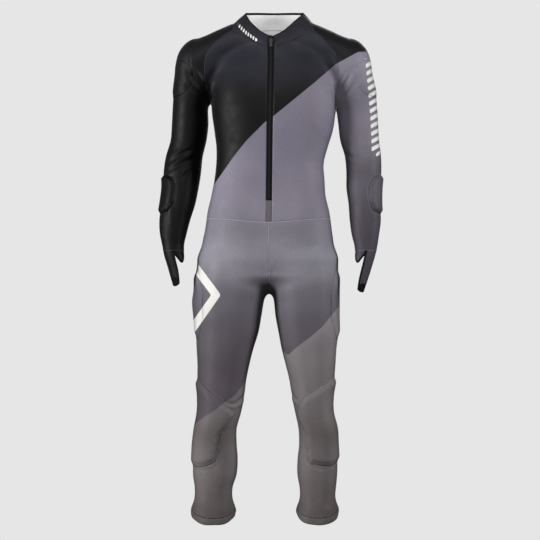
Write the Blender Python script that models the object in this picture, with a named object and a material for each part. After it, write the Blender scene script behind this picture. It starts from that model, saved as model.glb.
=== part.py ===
"""A ski race suit, as it stands out when worn, with no wearer in it.

Metres, +Z up. The front faces -Y and the wearer's left is at +X. The origin is the
middle of the neck's base, where the shoulders carry the suit. A smooth figure, made
of sections from short tables, gives the cloth its place. Every seam is one row of
points on that figure, and the panels on both sides of a seam share its points.
"""

import functools
import math

import bmesh
import bpy
import numpy as np
from mathutils import Matrix, Vector

# Thicknesses and gaps of the sewn cloth
WALL = 0.0016
SEAM_GAP = 0.0003
PAD_LIFT = 0.0014
PAD_HEIGHT = 0.0065
FACING_WALL = 0.0012

# How many cells each panel has
RAGLAN_ROWS = 8
BODY_ROWS = 11
ARM_ROWS = 16
HIP_ROWS = 7
LEG_ROWS = 19
FRONT_COLUMNS = 8
HALF_SLEEVE_COLUMNS = 8
HALF_BACK_COLUMNS = 8
LEG_COLUMNS = 8
COLLAR_SHARES = (0.0, 0.42, 0.84, 1.0)
TONGUE_ROWS = 6
SLEEVE_ROUNDS = 2
HEM_ROWS = 2
ZIP_FOOT_ROW = RAGLAN_ROWS + 9

# Heights that more than one piece needs
COLLAR_FRONT_Z = -0.052
ZIP_FOOT_Z = -0.458
WAIST_SEAM_Z = -0.508
CROTCH = (-0.001, 0.012, -0.693)
HEM_Z = -1.2885
HEM_BAND_Z = -1.2695
CUFF_Z = -0.590
CHEST_X = 0.0093
NECK_X = 0.0125
NECK_FRONT_X = 0.0045

# Slope of the hem's plane: it hangs lower in front
HEM_SLOPE = 0.55
HEM_SLOPE_START_Z = -1.09

ZIP_HALF = 0.0080
ZIP_WALL = 0.0012
ZIP_RISE = 0.0015
FACING_EDGE = 0.0006
FACING_GAP = 0.0006
SLIDER_OFF = 0.0080
SIDES = {"right": -1, "left": 1}


def table(columns, rows):
    """A short table as a dictionary with one array for each named column."""
    values = np.array(rows, float)
    return dict(zip(columns.split(), values.T))


# The trunk: front and back are distances from the plane y = 0
TRUNK = table("z x half front back square", [
    (-0.050, 0.0110, 0.080, 0.062, 0.086, 2.0),
    (-0.085, 0.0093, 0.140, 0.080, 0.100, 2.1),
    (-0.130, 0.0093, 0.158, 0.099, 0.112, 2.3),
    (-0.175, 0.0093, 0.163, 0.112, 0.118, 2.4),
    (-0.212, 0.0095, 0.164, 0.117, 0.119, 2.4),
    (-0.276, 0.0093, 0.156, 0.113, 0.111, 2.4),
    (-0.318, 0.0053, 0.147, 0.108, 0.103, 2.4),
    (-0.360, 0.0000, 0.142, 0.104, 0.095, 2.4),
    (-0.403, -0.0013, 0.1455, 0.102, 0.091, 2.4),
    (-0.445, -0.0040, 0.151, 0.102, 0.093, 2.4),
    (-0.488, -0.0040, 0.161, 0.103, 0.100, 2.4),
    (-0.530, -0.0040, 0.167, 0.104, 0.111, 2.4),
    (-0.572, -0.0053, 0.174, 0.103, 0.122, 2.4),
    (-0.615, -0.0053, 0.176, 0.098, 0.127, 2.3),
    (-0.650, -0.0070, 0.165, 0.086, 0.118, 2.2),
])
TRUNK_CAPS = (0.020, 0.038)

# The shoulders, a bar across: how high its top is at each distance from the middle
YOKE = table("x top half_height front back", [
    (0.000, 0.018, 0.050, 0.052, 0.082),
    (0.060, 0.018, 0.050, 0.052, 0.080),
    (0.100, 0.014, 0.050, 0.054, 0.074),
    (0.142, -0.003, 0.048, 0.058, 0.070),
    (0.172, -0.017, 0.046, 0.056, 0.066),
    (0.200, -0.031, 0.044, 0.052, 0.060),
])
YOKE_CAP = 0.037

NECK = table("z half front back", [
    (-0.110, 0.082, 0.082, 0.095),
    (-0.060, 0.079, 0.074, 0.090),
    (-0.020, 0.076, 0.064, 0.086),
    (0.030, 0.072, 0.056, 0.080),
    (0.070, 0.070, 0.054, 0.076),
])
NECK_CAP = 0.010

# The arms hang a little away from the trunk, with the wrists forward
ARMS = table("z right_x right_half left_x left_half y depth", [
    (-0.100, -0.1965, 0.0490, 0.2145, 0.0490, 0.004, 0.0600),
    (-0.127, -0.2000, 0.0500, 0.2190, 0.0505, 0.004, 0.0600),
    (-0.170, -0.2054, 0.0500, 0.2266, 0.0530, 0.006, 0.0580),
    (-0.212, -0.2112, 0.0472, 0.2306, 0.0540, 0.009, 0.0560),
    (-0.254, -0.2122, 0.0485, 0.2345, 0.0530, 0.012, 0.0550),
    (-0.297, -0.2165, 0.0477, 0.2385, 0.0515, 0.014, 0.0530),
    (-0.339, -0.2275, 0.0488, 0.2470, 0.0480, 0.013, 0.0520),
    (-0.382, -0.2325, 0.0495, 0.2491, 0.0464, 0.008, 0.0530),
    (-0.424, -0.2355, 0.0462, 0.2473, 0.0446, 0.002, 0.0520),
    (-0.466, -0.2420, 0.0445, 0.2493, 0.0413, -0.005, 0.0480),
    (-0.509, -0.2515, 0.0408, 0.2518, 0.0411, -0.012, 0.0420),
    (-0.551, -0.2555, 0.0342, 0.2518, 0.0355, -0.019, 0.0350),
    (-0.572, -0.2555, 0.0295, 0.2528, 0.0312, -0.022, 0.0310),
    (-0.600, -0.2530, 0.0265, 0.2520, 0.0265, -0.025, 0.0280),
])
ARM_CAPS = (0.048, 0.010)

# The legs: the wearer's right leg turns out a little more than the left
LEGS = table("z right_x right_half left_x left_half front back", [
    (-0.620, -0.1020, 0.0860, 0.0920, 0.0835, 0.092, 0.122),
    (-0.657, -0.1050, 0.0925, 0.0935, 0.0880, 0.094, 0.124),
    (-0.700, -0.1050, 0.0945, 0.0935, 0.0875, 0.096, 0.119),
    (-0.721, -0.1090, 0.0935, 0.0955, 0.0855, 0.096, 0.114),
    (-0.763, -0.1111, 0.0885, 0.0977, 0.0831, 0.094, 0.106),
    (-0.806, -0.1133, 0.0828, 0.1019, 0.0793, 0.090, 0.100),
    (-0.848, -0.1190, 0.0755, 0.1034, 0.0729, 0.085, 0.094),
    (-0.890, -0.1232, 0.0690, 0.1073, 0.0663, 0.080, 0.088),
    (-0.933, -0.1275, 0.0645, 0.1107, 0.0593, 0.076, 0.080),
    (-0.975, -0.1280, 0.0597, 0.1105, 0.0527, 0.073, 0.073),
    (-1.018, -0.1325, 0.0560, 0.1150, 0.0485, 0.071, 0.066),
    (-1.060, -0.1420, 0.0540, 0.1245, 0.0492, 0.067, 0.063),
    (-1.102, -0.1450, 0.0565, 0.1270, 0.0497, 0.057, 0.071),
    (-1.145, -0.1450, 0.0590, 0.1262, 0.0528, 0.048, 0.082),
    (-1.187, -0.1470, 0.0578, 0.1259, 0.0528, 0.042, 0.086),
    (-1.220, -0.1500, 0.0505, 0.1272, 0.0485, 0.036, 0.082),
    (-1.242, -0.1505, 0.0500, 0.1268, 0.0472, 0.033, 0.078),
    (-1.258, -0.1507, 0.0530, 0.1268, 0.0500, 0.034, 0.080),
    (-1.270, -0.1508, 0.0575, 0.1268, 0.0545, 0.037, 0.086),
    (-1.310, -0.1508, 0.0580, 0.1268, 0.0550, 0.037, 0.087),
])
LEG_CAPS = (0.045, 0.020)

# How widely each limb's form runs into the trunk's
SHOULDER_BLEND = 0.040
ARM_BLEND = table("z width", [(-0.240, 0.007), (-0.200, 0.016), (-0.150, 0.045)])
NECK_BLEND = 0.020
HIP_BLEND = 0.034
BETWEEN_LEGS_BLEND = 0.025

# Where the seams in front hang lower in the middle: the place, how much lower, and how
# far to each side and up and down that reaches
SETTLED = table("x z drop half_width height", [
    (0.0040, -0.052, 0.0095, 0.088, 0.070),
    (-0.0035, -0.508, 0.0100, 0.150, 0.090),
])

# The raglan seam runs from the collar to the armpit, in front and behind. The ridge
# is the line over the shoulder that each row of the sleeve crosses.
RAGLAN = table("right_x left_x front_z back_z ridge_x ridge_z", [
    (-0.0970, 0.1130, -0.012, 0.004, 0.1060, 0.019),
    (-0.1390, 0.1440, -0.041, -0.030, 0.1500, -0.004),
    (-0.1660, 0.1710, -0.078, -0.070, 0.2050, -0.026),
    (-0.1710, 0.1800, -0.118, -0.114, 0.2450, -0.058),
    (-0.1680, 0.1790, -0.160, -0.158, 0.2590, -0.105),
    (-0.1580, 0.1745, -0.198, -0.198, 0.2620, -0.165),
])
ARMPIT_Y = 0.012

# The collar's edge, by the angle from the front. It slopes down to the zip.
COLLAR = table("angle x y z", [
    (0, 0.0000, -0.064, -0.0325),
    (30, 0.0310, -0.056, -0.0160),
    (60, 0.0590, -0.030, 0.0130),
    (90, 0.0765, 0.006, 0.0385),
    (120, 0.0670, 0.042, 0.0450),
    (150, 0.0380, 0.066, 0.0485),
    (180, 0.0000, 0.074, 0.0490),
])
COLLAR_MIDDLE_Y = 0.012
COLLAR_SWELL = 0.003

# The sleeve's pointed end, a part of a tube: angles from its outer side to the front
TONGUE = table("share right_x right_z left_x left_z front_angle back_angle", [
    (0.00, -0.2530, -0.590, 0.2520, -0.590, 90, -22),
    (0.25, -0.2480, -0.610, 0.2450, -0.615, 86, -17),
    (0.50, -0.2400, -0.634, 0.2360, -0.643, 82, -10),
    (0.75, -0.2330, -0.657, 0.2270, -0.669, 76, -3),
    (1.00, -0.2270, -0.676, 0.2190, -0.692, 66, 6),
])
TONGUE_COLUMNS = (4, 9)
TONGUE_RADIUS = 0.029
TONGUE_Y = -0.025
TONGUE_TIP = 0.006

# The small pointed flap inside the thumb's notch
FLAP_COLUMNS = (1, 4)
FLAP_ROWS = 3
FLAP_DROP = 0.030
FLAP_NARROWING = 0.55
FLAP_SPREAD = 0.008

# Pads on the limbs, a row for each angle as for the tongue: how high the pad's top
# and bottom are there
PADS = {
    "shoulder": table("angle top bottom", [
        (-72, -0.116, -0.150),
        (-52, -0.095, -0.172),
        (0, -0.088, -0.186),
        (50, -0.090, -0.184),
        (72, -0.100, -0.176),
        (87, -0.120, -0.156),
    ]),
    "forearm": table("angle top bottom", [
        (-66, -0.418, -0.462),
        (-45, -0.398, -0.482),
        (0, -0.391, -0.491),
        (50, -0.396, -0.488),
        (74, -0.418, -0.466),
    ]),
    "thigh": table("angle top bottom", [
        (-48, -0.706, -0.762),
        (-30, -0.668, -0.796),
        (0, -0.648, -0.816),
        (30, -0.660, -0.806),
        (48, -0.700, -0.766),
    ]),
    "knee_right": table("angle top bottom", [
        (-36, -0.956, -1.134),
        (-12, -0.932, -1.156),
        (18, -0.927, -1.163),
        (57, -0.946, -1.160),
        (84, -0.968, -1.147),
        (100, -0.984, -1.124),
        (112, -0.996, -1.088),
        (128, -1.020, -1.046),
    ]),
    "knee_left": table("angle top bottom", [
        (-36, -0.956, -1.134),
        (-12, -0.932, -1.156),
        (18, -0.926, -1.164),
        (60, -0.942, -1.162),
        (97, -0.968, -1.150),
        (118, -0.986, -1.128),
        (128, -0.996, -1.088),
        (144, -1.016, -1.042),
    ]),
}
PAD_CELLS = {"shoulder": (6, 10), "forearm": (6, 8), "thigh": (8, 7), "knee": (12, 12)}

# The slider and its pull, in front of the zip's top
SLIDER_SIZE = (0.0095, 0.0045, 0.0130)
SLIDER_Z = -0.0440
PULL_SIZE = (0.0075, 0.0022, 0.0220)
PULL_DROP = 0.0075

# The largest folds: a trough's two ends in the front view, how deep and how wide it
# is, and on which face
FOLDS = table("x1 z1 x2 z2 depth width face", [
    (-0.212, -0.102, -0.168, -0.165, 0.0045, 0.013, -1),
    (-0.226, -0.108, -0.184, -0.157, 0.0035, 0.011, -1),
    (0.183, -0.170, 0.222, -0.104, 0.0045, 0.013, -1),
    (0.196, -0.152, 0.224, -0.112, 0.0035, 0.011, -1),
    (-0.226, -0.096, -0.196, -0.140, 0.0040, 0.013, 1),
    (0.180, -0.178, 0.226, -0.100, 0.0045, 0.014, 1),
    (-0.260, -0.348, -0.205, -0.318, 0.0045, 0.014, -1),
    (-0.256, -0.384, -0.196, -0.345, 0.0040, 0.014, -1),
    (0.200, -0.352, 0.236, -0.336, 0.0050, 0.014, -1),
    (-0.064, -0.996, -0.108, -1.012, 0.0030, 0.012, -1),
    (0.056, -0.985, 0.086, -0.996, 0.0030, 0.012, -1),
    (-0.150, -1.000, -0.095, -1.006, 0.0040, 0.014, 1),
    (0.085, -1.000, 0.140, -1.006, 0.0040, 0.014, 1),
])

# The crotch seam, down the front, under and up the back
CROTCH_SEAM = table("front front_z back back_z outseam_z", [
    (-0.104, WAIST_SEAM_Z, 0.106, WAIST_SEAM_Z, WAIST_SEAM_Z),
    (-0.105, -0.560, 0.116, -0.555, -0.548),
    (-0.102, -0.610, 0.124, -0.602, -0.588),
    (-0.090, -0.653, 0.116, -0.648, -0.626),
    (-0.060, -0.684, 0.080, -0.684, -0.662),
    (CROTCH[1], CROTCH[2], CROTCH[1], CROTCH[2], -0.692),
])

# The zip's line: a little off the middle, as the suit leans
ZIP_LINE = table("z x", [
    (-0.020, 0.0040),
    (-0.200, 0.0005),
    (WAIST_SEAM_Z, -0.0035),
])


def smooth(at, xs, ys):
    """Reads a smooth curve through the table's points. It is flat outside them."""
    at = np.asarray(at, float)
    order = np.argsort(xs)
    xs, ys = xs[order], ys[order]
    slopes = np.gradient(ys, xs)
    x = np.clip(at, xs[0], xs[-1])
    k = np.clip(np.searchsorted(xs, x) - 1, 0, len(xs) - 2)
    width = xs[k + 1] - xs[k]
    t = (x - xs[k]) / width
    rise = (2 * t**3 - 3 * t**2 + 1) * ys[k] + (3 * t**2 - 2 * t**3) * ys[k + 1]
    lean = (t**3 - 2 * t**2 + t) * slopes[k] + (t**3 - t**2) * slopes[k + 1]
    return rise + lean * width


def shaped(across, along, half_across, half_along, beyond, cap, power):
    """Signed distance, measured outward from a section's middle, to its round edge."""
    flat = np.abs(across / half_across) ** power + np.abs(along / half_along) ** power
    ratio = np.sqrt(flat ** (2 / power) + (beyond / cap) ** 2)
    reach = np.sqrt(across**2 + along**2 + beyond**2)
    return reach - reach / np.maximum(ratio, 1e-6) - 1e-4 * (reach < 1e-6)


def column_distance(p, z, x, half, front, back, power, caps):
    """Distance to a column of level sections with a round cap at each end."""
    level = np.clip(p[:, 2], z.min(), z.max())
    over = np.maximum(p[:, 2] - z.max(), 0)
    under = np.maximum(z.min() - p[:, 2], 0)
    front_y, back_y = smooth(level, z, front), smooth(level, z, back)
    return shaped(
        p[:, 0] - smooth(level, z, x),
        p[:, 1] - (back_y - front_y) / 2,
        smooth(level, z, half),
        (front_y + back_y) / 2,
        over + under,
        np.where(over > 0, caps[0], caps[1]),
        smooth(level, z, power) if np.ndim(power) else power,
    )


def joined(a, b, width):
    """The union of two forms, with a fillet about as wide as width."""
    near = np.maximum(width - np.abs(a - b), 0) / width
    return np.minimum(a, b) - near**2 * width / 4


def figure(p):
    """Signed distance of points from the surface that the cloth lies on."""
    t = TRUNK
    trunk = column_distance(
        p, t["z"], t["x"], t["half"], t["front"], t["back"], t["square"], TRUNK_CAPS
    )
    out = np.abs(p[:, 0] - CHEST_X)
    x = np.clip(out, 0, YOKE["x"].max())
    height = smooth(x, YOKE["x"], YOKE["half_height"])
    front = smooth(x, YOKE["x"], YOKE["front"])
    back = smooth(x, YOKE["x"], YOKE["back"])
    yoke = shaped(
        p[:, 2] - smooth(x, YOKE["x"], YOKE["top"]) + height,
        p[:, 1] - (back - front) / 2,
        height,
        (front + back) / 2,
        np.maximum(out - YOKE["x"].max(), 0),
        YOKE_CAP,
        2.0,
    )
    n = NECK
    neck = column_distance(
        p, n["z"], np.full(len(n["z"]), NECK_X), n["half"], n["front"], n["back"],
        2.0, (NECK_CAP, NECK_CAP),
    )
    body = joined(joined(trunk, yoke, SHOULDER_BLEND), neck, NECK_BLEND)
    legs = []
    for side in SIDES:
        a = ARMS
        arm = column_distance(
            p, a["z"], a[side + "_x"], a[side + "_half"],
            a["depth"] - a["y"], a["depth"] + a["y"], 2.0, ARM_CAPS,
        )
        body = joined(body, arm, smooth(p[:, 2], ARM_BLEND["z"], ARM_BLEND["width"]))
        g = LEGS
        legs.append(column_distance(
            p, g["z"], g[side + "_x"], g[side + "_half"],
            g["front"], g["back"], 2.1, LEG_CAPS,
        ))
    return joined(body, joined(legs[0], legs[1], BETWEEN_LEGS_BLEND), HIP_BLEND)


def slope_of(p):
    """The distance at each point, and the way in which it grows."""
    step = 1e-4
    here = figure(p)
    rise = [(figure(p + step * axis) - here) / step for axis in np.eye(3)]
    return here, np.stack(rise, axis=1)


def onto_figure(p, rounds=8, longest=0.02):
    """Moves points onto the figure's surface, each the short way."""
    shape = np.shape(p)
    p = np.array(p, float).reshape(-1, 3)
    for _ in range(rounds):
        here, rise = slope_of(p)
        size = (rise**2).sum(axis=1)
        move = -here / np.maximum(size, 0.2)
        step = move[:, None] * rise
        length = np.linalg.norm(step, axis=1, keepdims=True)
        p = p + step * np.minimum(1, longest / np.maximum(length, 1e-9))
    return p.reshape(shape)


def from_afar(p, way, rounds=60):
    """Moves points along one way until they meet the figure."""
    p, way = np.array(p, float), np.array(way, float)
    for _ in range(rounds):
        p = p + 0.7 * figure(p.reshape(-1, 3)).reshape(p.shape[:-1] + (1,)) * way
    return p


def relaxed(grid, rounds=12):
    """Evens out the points inside a grid, keeping them on the figure."""
    grid = onto_figure(grid)
    for _ in range(rounds):
        for _ in range(3):
            ends = grid[:-2, 1:-1] + grid[2:, 1:-1] + grid[1:-1, :-2] + grid[1:-1, 2:]
            grid[1:-1, 1:-1] = grid[1:-1, 1:-1] * 0.3 + ends * 0.175
        grid[1:-1, 1:-1] = onto_figure(grid[1:-1, 1:-1], rounds=1)
    grid[1:-1, 1:-1] = onto_figure(grid[1:-1, 1:-1], rounds=4)
    return grid


def outward(p):
    """Unit vectors out of the figure."""
    shape = np.shape(p)
    rise = slope_of(np.reshape(p, (-1, 3)))[1]
    return (rise / np.linalg.norm(rise, axis=1, keepdims=True)).reshape(shape)


def through(points, cells):
    """A smooth row of points through a few given ones, at even steps between them."""
    points = np.array(points, float)
    knots = np.arange(len(points), dtype=float)
    at = np.linspace(0, len(points) - 1, cells + 1)
    return np.stack([smooth(at, knots, points[:, k]) for k in range(3)], axis=1)


def arc(start, end, middle, outer, face, cells):
    """Points from start to end, turning about a middle. outer is the way to the side
    of the body, and face is -1 for an arc that runs over the front and 1 for the back."""
    outer = np.array(outer, float) / np.linalg.norm(outer)
    depth = np.array([0.0, 1.0, 0.0])
    along = np.cross(outer, depth)
    rows = []
    for p in (start, end):
        d = np.array(p, float) - middle
        turned = math.atan2(abs(d @ depth), d @ outer)
        rows.append((turned, math.hypot(d @ outer, d @ depth), d @ along))
    t = np.linspace(0, 1, cells + 1)[:, None]
    turned, far, off = (np.array(rows[0]) * (1 - t) + np.array(rows[1]) * t).T
    points = (
        middle
        + (far * np.cos(turned))[:, None] * outer
        + (far * np.sin(turned) * face)[:, None] * depth
        + off[:, None] * along
    )
    return points


def zip_x(z):
    return smooth(z, ZIP_LINE["z"], ZIP_LINE["x"])


def trunk_middle(z):
    """The middle of the trunk's section at a height."""
    front = smooth(z, TRUNK["z"], TRUNK["front"])
    back = smooth(z, TRUNK["z"], TRUNK["back"])
    return np.array([float(smooth(z, TRUNK["z"], TRUNK["x"])), float(back - front) / 2, z])


def arm_middle(side, z):
    x = smooth(z, ARMS["z"], ARMS[side + "_x"])
    return np.array([float(x), float(smooth(z, ARMS["z"], ARMS["y"])), z])


def leg_middle(side, z):
    front = smooth(z, LEGS["z"], LEGS["front"])
    back = smooth(z, LEGS["z"], LEGS["back"])
    x = smooth(z, LEGS["z"], LEGS[side + "_x"])
    return np.array([float(x), float(back - front) / 2, z])


@functools.lru_cache(maxsize=None)
def raglan_seam(side, face):
    """The seam between a sleeve and the front (face -1) or the back (face 1)."""
    heights = RAGLAN["front_z"] if face < 0 else RAGLAN["back_z"]
    x = RAGLAN[side + "_x"]
    points = through(np.stack([x, 0 * x + 0.3 * face, heights], axis=1), RAGLAN_ROWS)
    points = from_afar(points, (0, -face, 0))
    points[-1] = onto_figure([[x[-1], ARMPIT_Y, heights[-1]]])[0]
    points[-2] = onto_figure([points[-2] * 0.65 + points[-1] * 0.35])[0]
    return points


@functools.lru_cache(maxsize=None)
def side_seam(side):
    """From the armpit down the trunk's side to the waist seam."""
    armpit = raglan_seam(side, -1)[-1]
    heights = np.linspace(armpit[2], WAIST_SEAM_Z, BODY_ROWS + 1)
    points = []
    for z in heights:
        middle = trunk_middle(z)
        half = float(smooth(z, TRUNK["z"], TRUNK["half"]))
        points.append(middle + np.array([SIDES[side] * half, 0, 0]))
    points[0] = armpit
    return onto_figure(points)


@functools.lru_cache(maxsize=None)
def zip_edge(side):
    """The edge of a front panel along the zip, from the collar to the waist seam."""
    armpit = raglan_seam(side, -1)[-1]
    upper = np.linspace(COLLAR_FRONT_Z, armpit[2] - 0.004, RAGLAN_ROWS + 1)
    lower = np.linspace(armpit[2] - 0.004, WAIST_SEAM_Z, BODY_ROWS + 1)
    heights = np.concatenate([upper, lower[1:]])
    points = [
        (zip_x(z) + SIDES[side] * ZIP_HALF, -smooth(z, TRUNK["z"], TRUNK["front"]), z)
        for z in heights
    ]
    return onto_figure(points)


def settled(points):
    """Points with the front's seams let down in the middle, on the figure again."""
    points = np.array(points, float)
    facing = np.clip(-points[..., 1] / 0.030, 0, 1)
    for k in range(len(SETTLED["x"])):
        x, z, drop, half_width, height = (SETTLED[name][k] for name in SETTLED)
        near = np.clip(1 - np.abs(points[..., 0] - x) / half_width, 0, 1)
        near = near * near * (3 - 2 * near)
        level = np.exp(-((points[..., 2] - z) / height) ** 2)
        points[..., 2] -= drop * near * level * facing
    return onto_figure(points)


@functools.lru_cache(maxsize=None)
def front_panel(side):
    seam = np.concatenate([raglan_seam(side, -1), side_seam(side)[1:]])
    rows = []
    for inner, outer in zip(zip_edge(side), seam):
        middle = trunk_middle((inner[2] + outer[2]) / 2)
        rows.append(arc(inner, outer, middle, (SIDES[side], 0, 0), -1, FRONT_COLUMNS))
    return settled(relaxed(rows))


def back_half(side):
    """Rows from the side to the middle of the back."""
    seam = np.concatenate([raglan_seam(side, 1), side_seam(side)[1:]])
    top = 0.006
    heights = np.concatenate([
        np.linspace(top, seam[RAGLAN_ROWS][2], RAGLAN_ROWS + 1),
        seam[RAGLAN_ROWS + 1:, 2],
    ])
    rows = []
    for z, outer in zip(heights, seam):
        middle = trunk_middle((z + outer[2]) / 2)
        spine = (middle[0], smooth(z, TRUNK["z"], TRUNK["back"]), z)
        row = arc(outer, spine, middle, (SIDES[side], 0, 0), 1, HALF_BACK_COLUMNS)
        t = np.linspace(0, 1, len(row))
        row[:, 2] = outer[2] + (z - outer[2]) * np.sin(t * math.pi / 2)
        rows.append(row)
    return onto_figure(rows)


@functools.lru_cache(maxsize=None)
def back_panel():
    right, left = back_half("right"), back_half("left")
    left[:, -1] = right[:, -1] = (left[:, -1] + right[:, -1]) / 2
    return relaxed(np.concatenate([right, left[:, -2::-1]], axis=1))


@functools.lru_cache(maxsize=None)
def underarm_line(side):
    """From the armpit down the inside of the arm to the cuff."""
    armpit = raglan_seam(side, -1)[-1]
    heights = np.linspace(armpit[2], CUFF_Z, ARM_ROWS + 1)
    points = []
    for z in heights:
        middle = arm_middle(side, z)
        half = float(smooth(z, ARMS["z"], ARMS[side + "_half"]))
        points.append(middle - np.array([SIDES[side] * half, 0, 0]))
    points[0] = armpit
    points[1] = (points[0] + points[2]) / 2
    return onto_figure(points)


@functools.lru_cache(maxsize=None)
def outer_arm_line(side):
    """From the collar over the shoulder and down the outside of the arm."""
    s = SIDES[side]
    ridge = np.stack([
        CHEST_X + s * RAGLAN["ridge_x"],
        np.full(len(RAGLAN["ridge_z"]), ARMPIT_Y),
        RAGLAN["ridge_z"],
    ], axis=1)
    upper = onto_figure(through(ridge, RAGLAN_ROWS))
    heights = np.linspace(upper[-1][2], CUFF_Z, ARM_ROWS + 1)[1:]
    points = []
    for z in heights:
        half = float(smooth(z, ARMS["z"], ARMS[side + "_half"]))
        points.append(arm_middle(side, z) + np.array([s * half, 0, 0]))
    return np.concatenate([upper, onto_figure(points)])


@functools.lru_cache(maxsize=None)
def sleeve_rows(side):
    """The sleeve from the collar to the cuff, opened along the underarm."""
    under = underarm_line(side)[1:]
    front = np.concatenate([raglan_seam(side, -1), under])
    back = np.concatenate([raglan_seam(side, 1), under])
    rows = []
    for i, ridge in enumerate(outer_arm_line(side)):
        inner = (front[i] + back[i]) / 2
        if i == 0:
            middle = ridge - np.array([0, 0, 0.045])
            outer = (0, 0, 1)
        else:
            share = min(0.5, 0.22 + 0.05 * i)
            middle = inner + (ridge - inner) * share
            outer = ridge - middle
        middle[1] = arm_middle(side, middle[2])[1]
        outer = (outer[0], 0, outer[2])
        over_front = arc(front[i], ridge, middle, outer, -1, HALF_SLEEVE_COLUMNS)
        over_back = arc(ridge, back[i], middle, outer, 1, HALF_SLEEVE_COLUMNS)
        rows.append(np.concatenate([over_front, over_back[1:]]))
    return relaxed(rows, SLEEVE_ROUNDS)


@functools.lru_cache(maxsize=None)
def crotch_line(face):
    """The middle seam from the waist seam to the crotch point."""
    word = "front" if face < 0 else "back"
    points = np.stack([
        np.linspace(float(zip_x(WAIST_SEAM_Z)), CROTCH[0], len(CROTCH_SEAM["front"])),
        CROTCH_SEAM[word],
        CROTCH_SEAM[word + "_z"],
    ], axis=1)
    return onto_figure(through(points, HIP_ROWS))


@functools.lru_cache(maxsize=None)
def inseam(side):
    """From the crotch point down the inside of the leg to the hem."""
    start = crotch_line(-1)[-1]
    heights = np.linspace(start[2], HEM_BAND_Z, LEG_ROWS + 1)
    points = []
    for z in heights:
        half = float(smooth(z, LEGS["z"], LEGS[side + "_half"]))
        points.append(leg_middle(side, z) - np.array([SIDES[side] * half, 0, 0]))
    points[0] = start
    points = onto_figure(points)
    points[0] = start
    return points


@functools.lru_cache(maxsize=None)
def outseam(side):
    """From the waist seam down the outside of the leg to the hem."""
    knots = np.arange(len(CROTCH_SEAM["outseam_z"]), dtype=float)
    at = np.linspace(0, knots[-1], HIP_ROWS + 1)
    upper = smooth(at, knots, CROTCH_SEAM["outseam_z"])
    heights = np.concatenate([upper, np.linspace(upper[-1], HEM_BAND_Z, LEG_ROWS + 1)[1:]])
    points = []
    for z in heights:
        hip = trunk_middle(max(z, -0.62))
        half = float(smooth(z, TRUNK["z"], TRUNK["half"]))
        hip = np.array([hip[0] + SIDES[side] * half, hip[1], z])
        leg_half = float(smooth(z, LEGS["z"], LEGS[side + "_half"]))
        leg = leg_middle(side, z) + np.array([SIDES[side] * leg_half, 0, 0])
        points.append(hip if z > -0.60 else leg)
    points = onto_figure(points)
    points[0] = side_seam(side)[-1]
    return points


def hem_drop(points, middles):
    """How much lower each point lies, where the rows tip towards the hem's plane."""
    points, middles = np.array(points, float), np.array(middles, float)
    share = (HEM_SLOPE_START_Z - middles[:, 2]) / (HEM_SLOPE_START_Z - HEM_Z)
    share = np.clip(share, 0, 1) ** 2
    return HEM_SLOPE * share * (points[:, 1] - middles[:, 1])


@functools.lru_cache(maxsize=None)
def leg_panel(side, face):
    """The front (face -1) or the back (face 1) of a leg."""
    s = SIDES[side]
    inner = np.concatenate([crotch_line(face), inseam(side)[1:]])
    outer = outseam(side)
    rows = []
    for i, (a, b) in enumerate(zip(inner, outer)):
        z = (a[2] + b[2]) / 2
        share = min(1.0, i / HIP_ROWS)
        leg = leg_middle(side, min(z, -0.62))
        middle = trunk_middle(max(z, -0.62)) * (1 - share) + leg * share
        middle[2] = z
        row = arc(a, b, middle, (s, 0, 0), face, LEG_COLUMNS)
        row[:, 2] += hem_drop(row, np.tile(middle, (len(row), 1)))
        rows.append(row)
    return settled(relaxed(rows)) if face < 0 else relaxed(rows)


@functools.lru_cache(maxsize=None)
def hem_band(side):
    """A ring below a leg's last rows, down to the hem."""
    rows = []
    last = np.concatenate([leg_panel(side, -1)[-1], leg_panel(side, 1)[-1][-2::-1]])
    for share in np.linspace(0, 1, HEM_ROWS + 1):
        row = last.copy()
        row[:, 2] += (HEM_Z - HEM_BAND_Z) * share
        rows.append(row)
    rows = onto_figure(rows)
    rows[0] = last
    return rows


@functools.lru_cache(maxsize=None)
def collar_grid():
    """From the neck's seam up to the collar's edge, from one side of the zip to the
    other. Its lowest row has the points of the panels that it is sewn to."""
    right = [front_panel("right")[0], sleeve_rows("right")[0], back_panel()[0]]
    left = [sleeve_rows("left")[0][::-1], front_panel("left")[0][::-1]]
    base = np.concatenate([right[0]] + [row[1:] for row in right[1:] + left])
    behind = np.clip((base[:, 1] + 0.060) / 0.080, 0, 1)
    middle_x = NECK_FRONT_X + (NECK_X - NECK_FRONT_X) * behind
    off = base - np.array([0, COLLAR_MIDDLE_Y, 0])
    off[:, 0] -= middle_x
    turned = np.degrees(np.arctan2(np.abs(off[:, 0]), -off[:, 1]))
    way = np.sign(off[:, 0])
    edge = np.stack([
        middle_x + way * smooth(turned, COLLAR["angle"], COLLAR["x"]),
        smooth(turned, COLLAR["angle"], COLLAR["y"]),
        smooth(turned, COLLAR["angle"], COLLAR["z"]),
    ], axis=1)
    rows = []
    for share in COLLAR_SHARES:
        row = base * (1 - share) + edge * share
        swell = COLLAR_SWELL * math.sin(share * math.pi)
        flat = off * np.array([1, 1, 0])
        row = row + swell * flat / np.linalg.norm(flat, axis=1, keepdims=True)
        rows.append(row)
    return np.array(rows)


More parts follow.
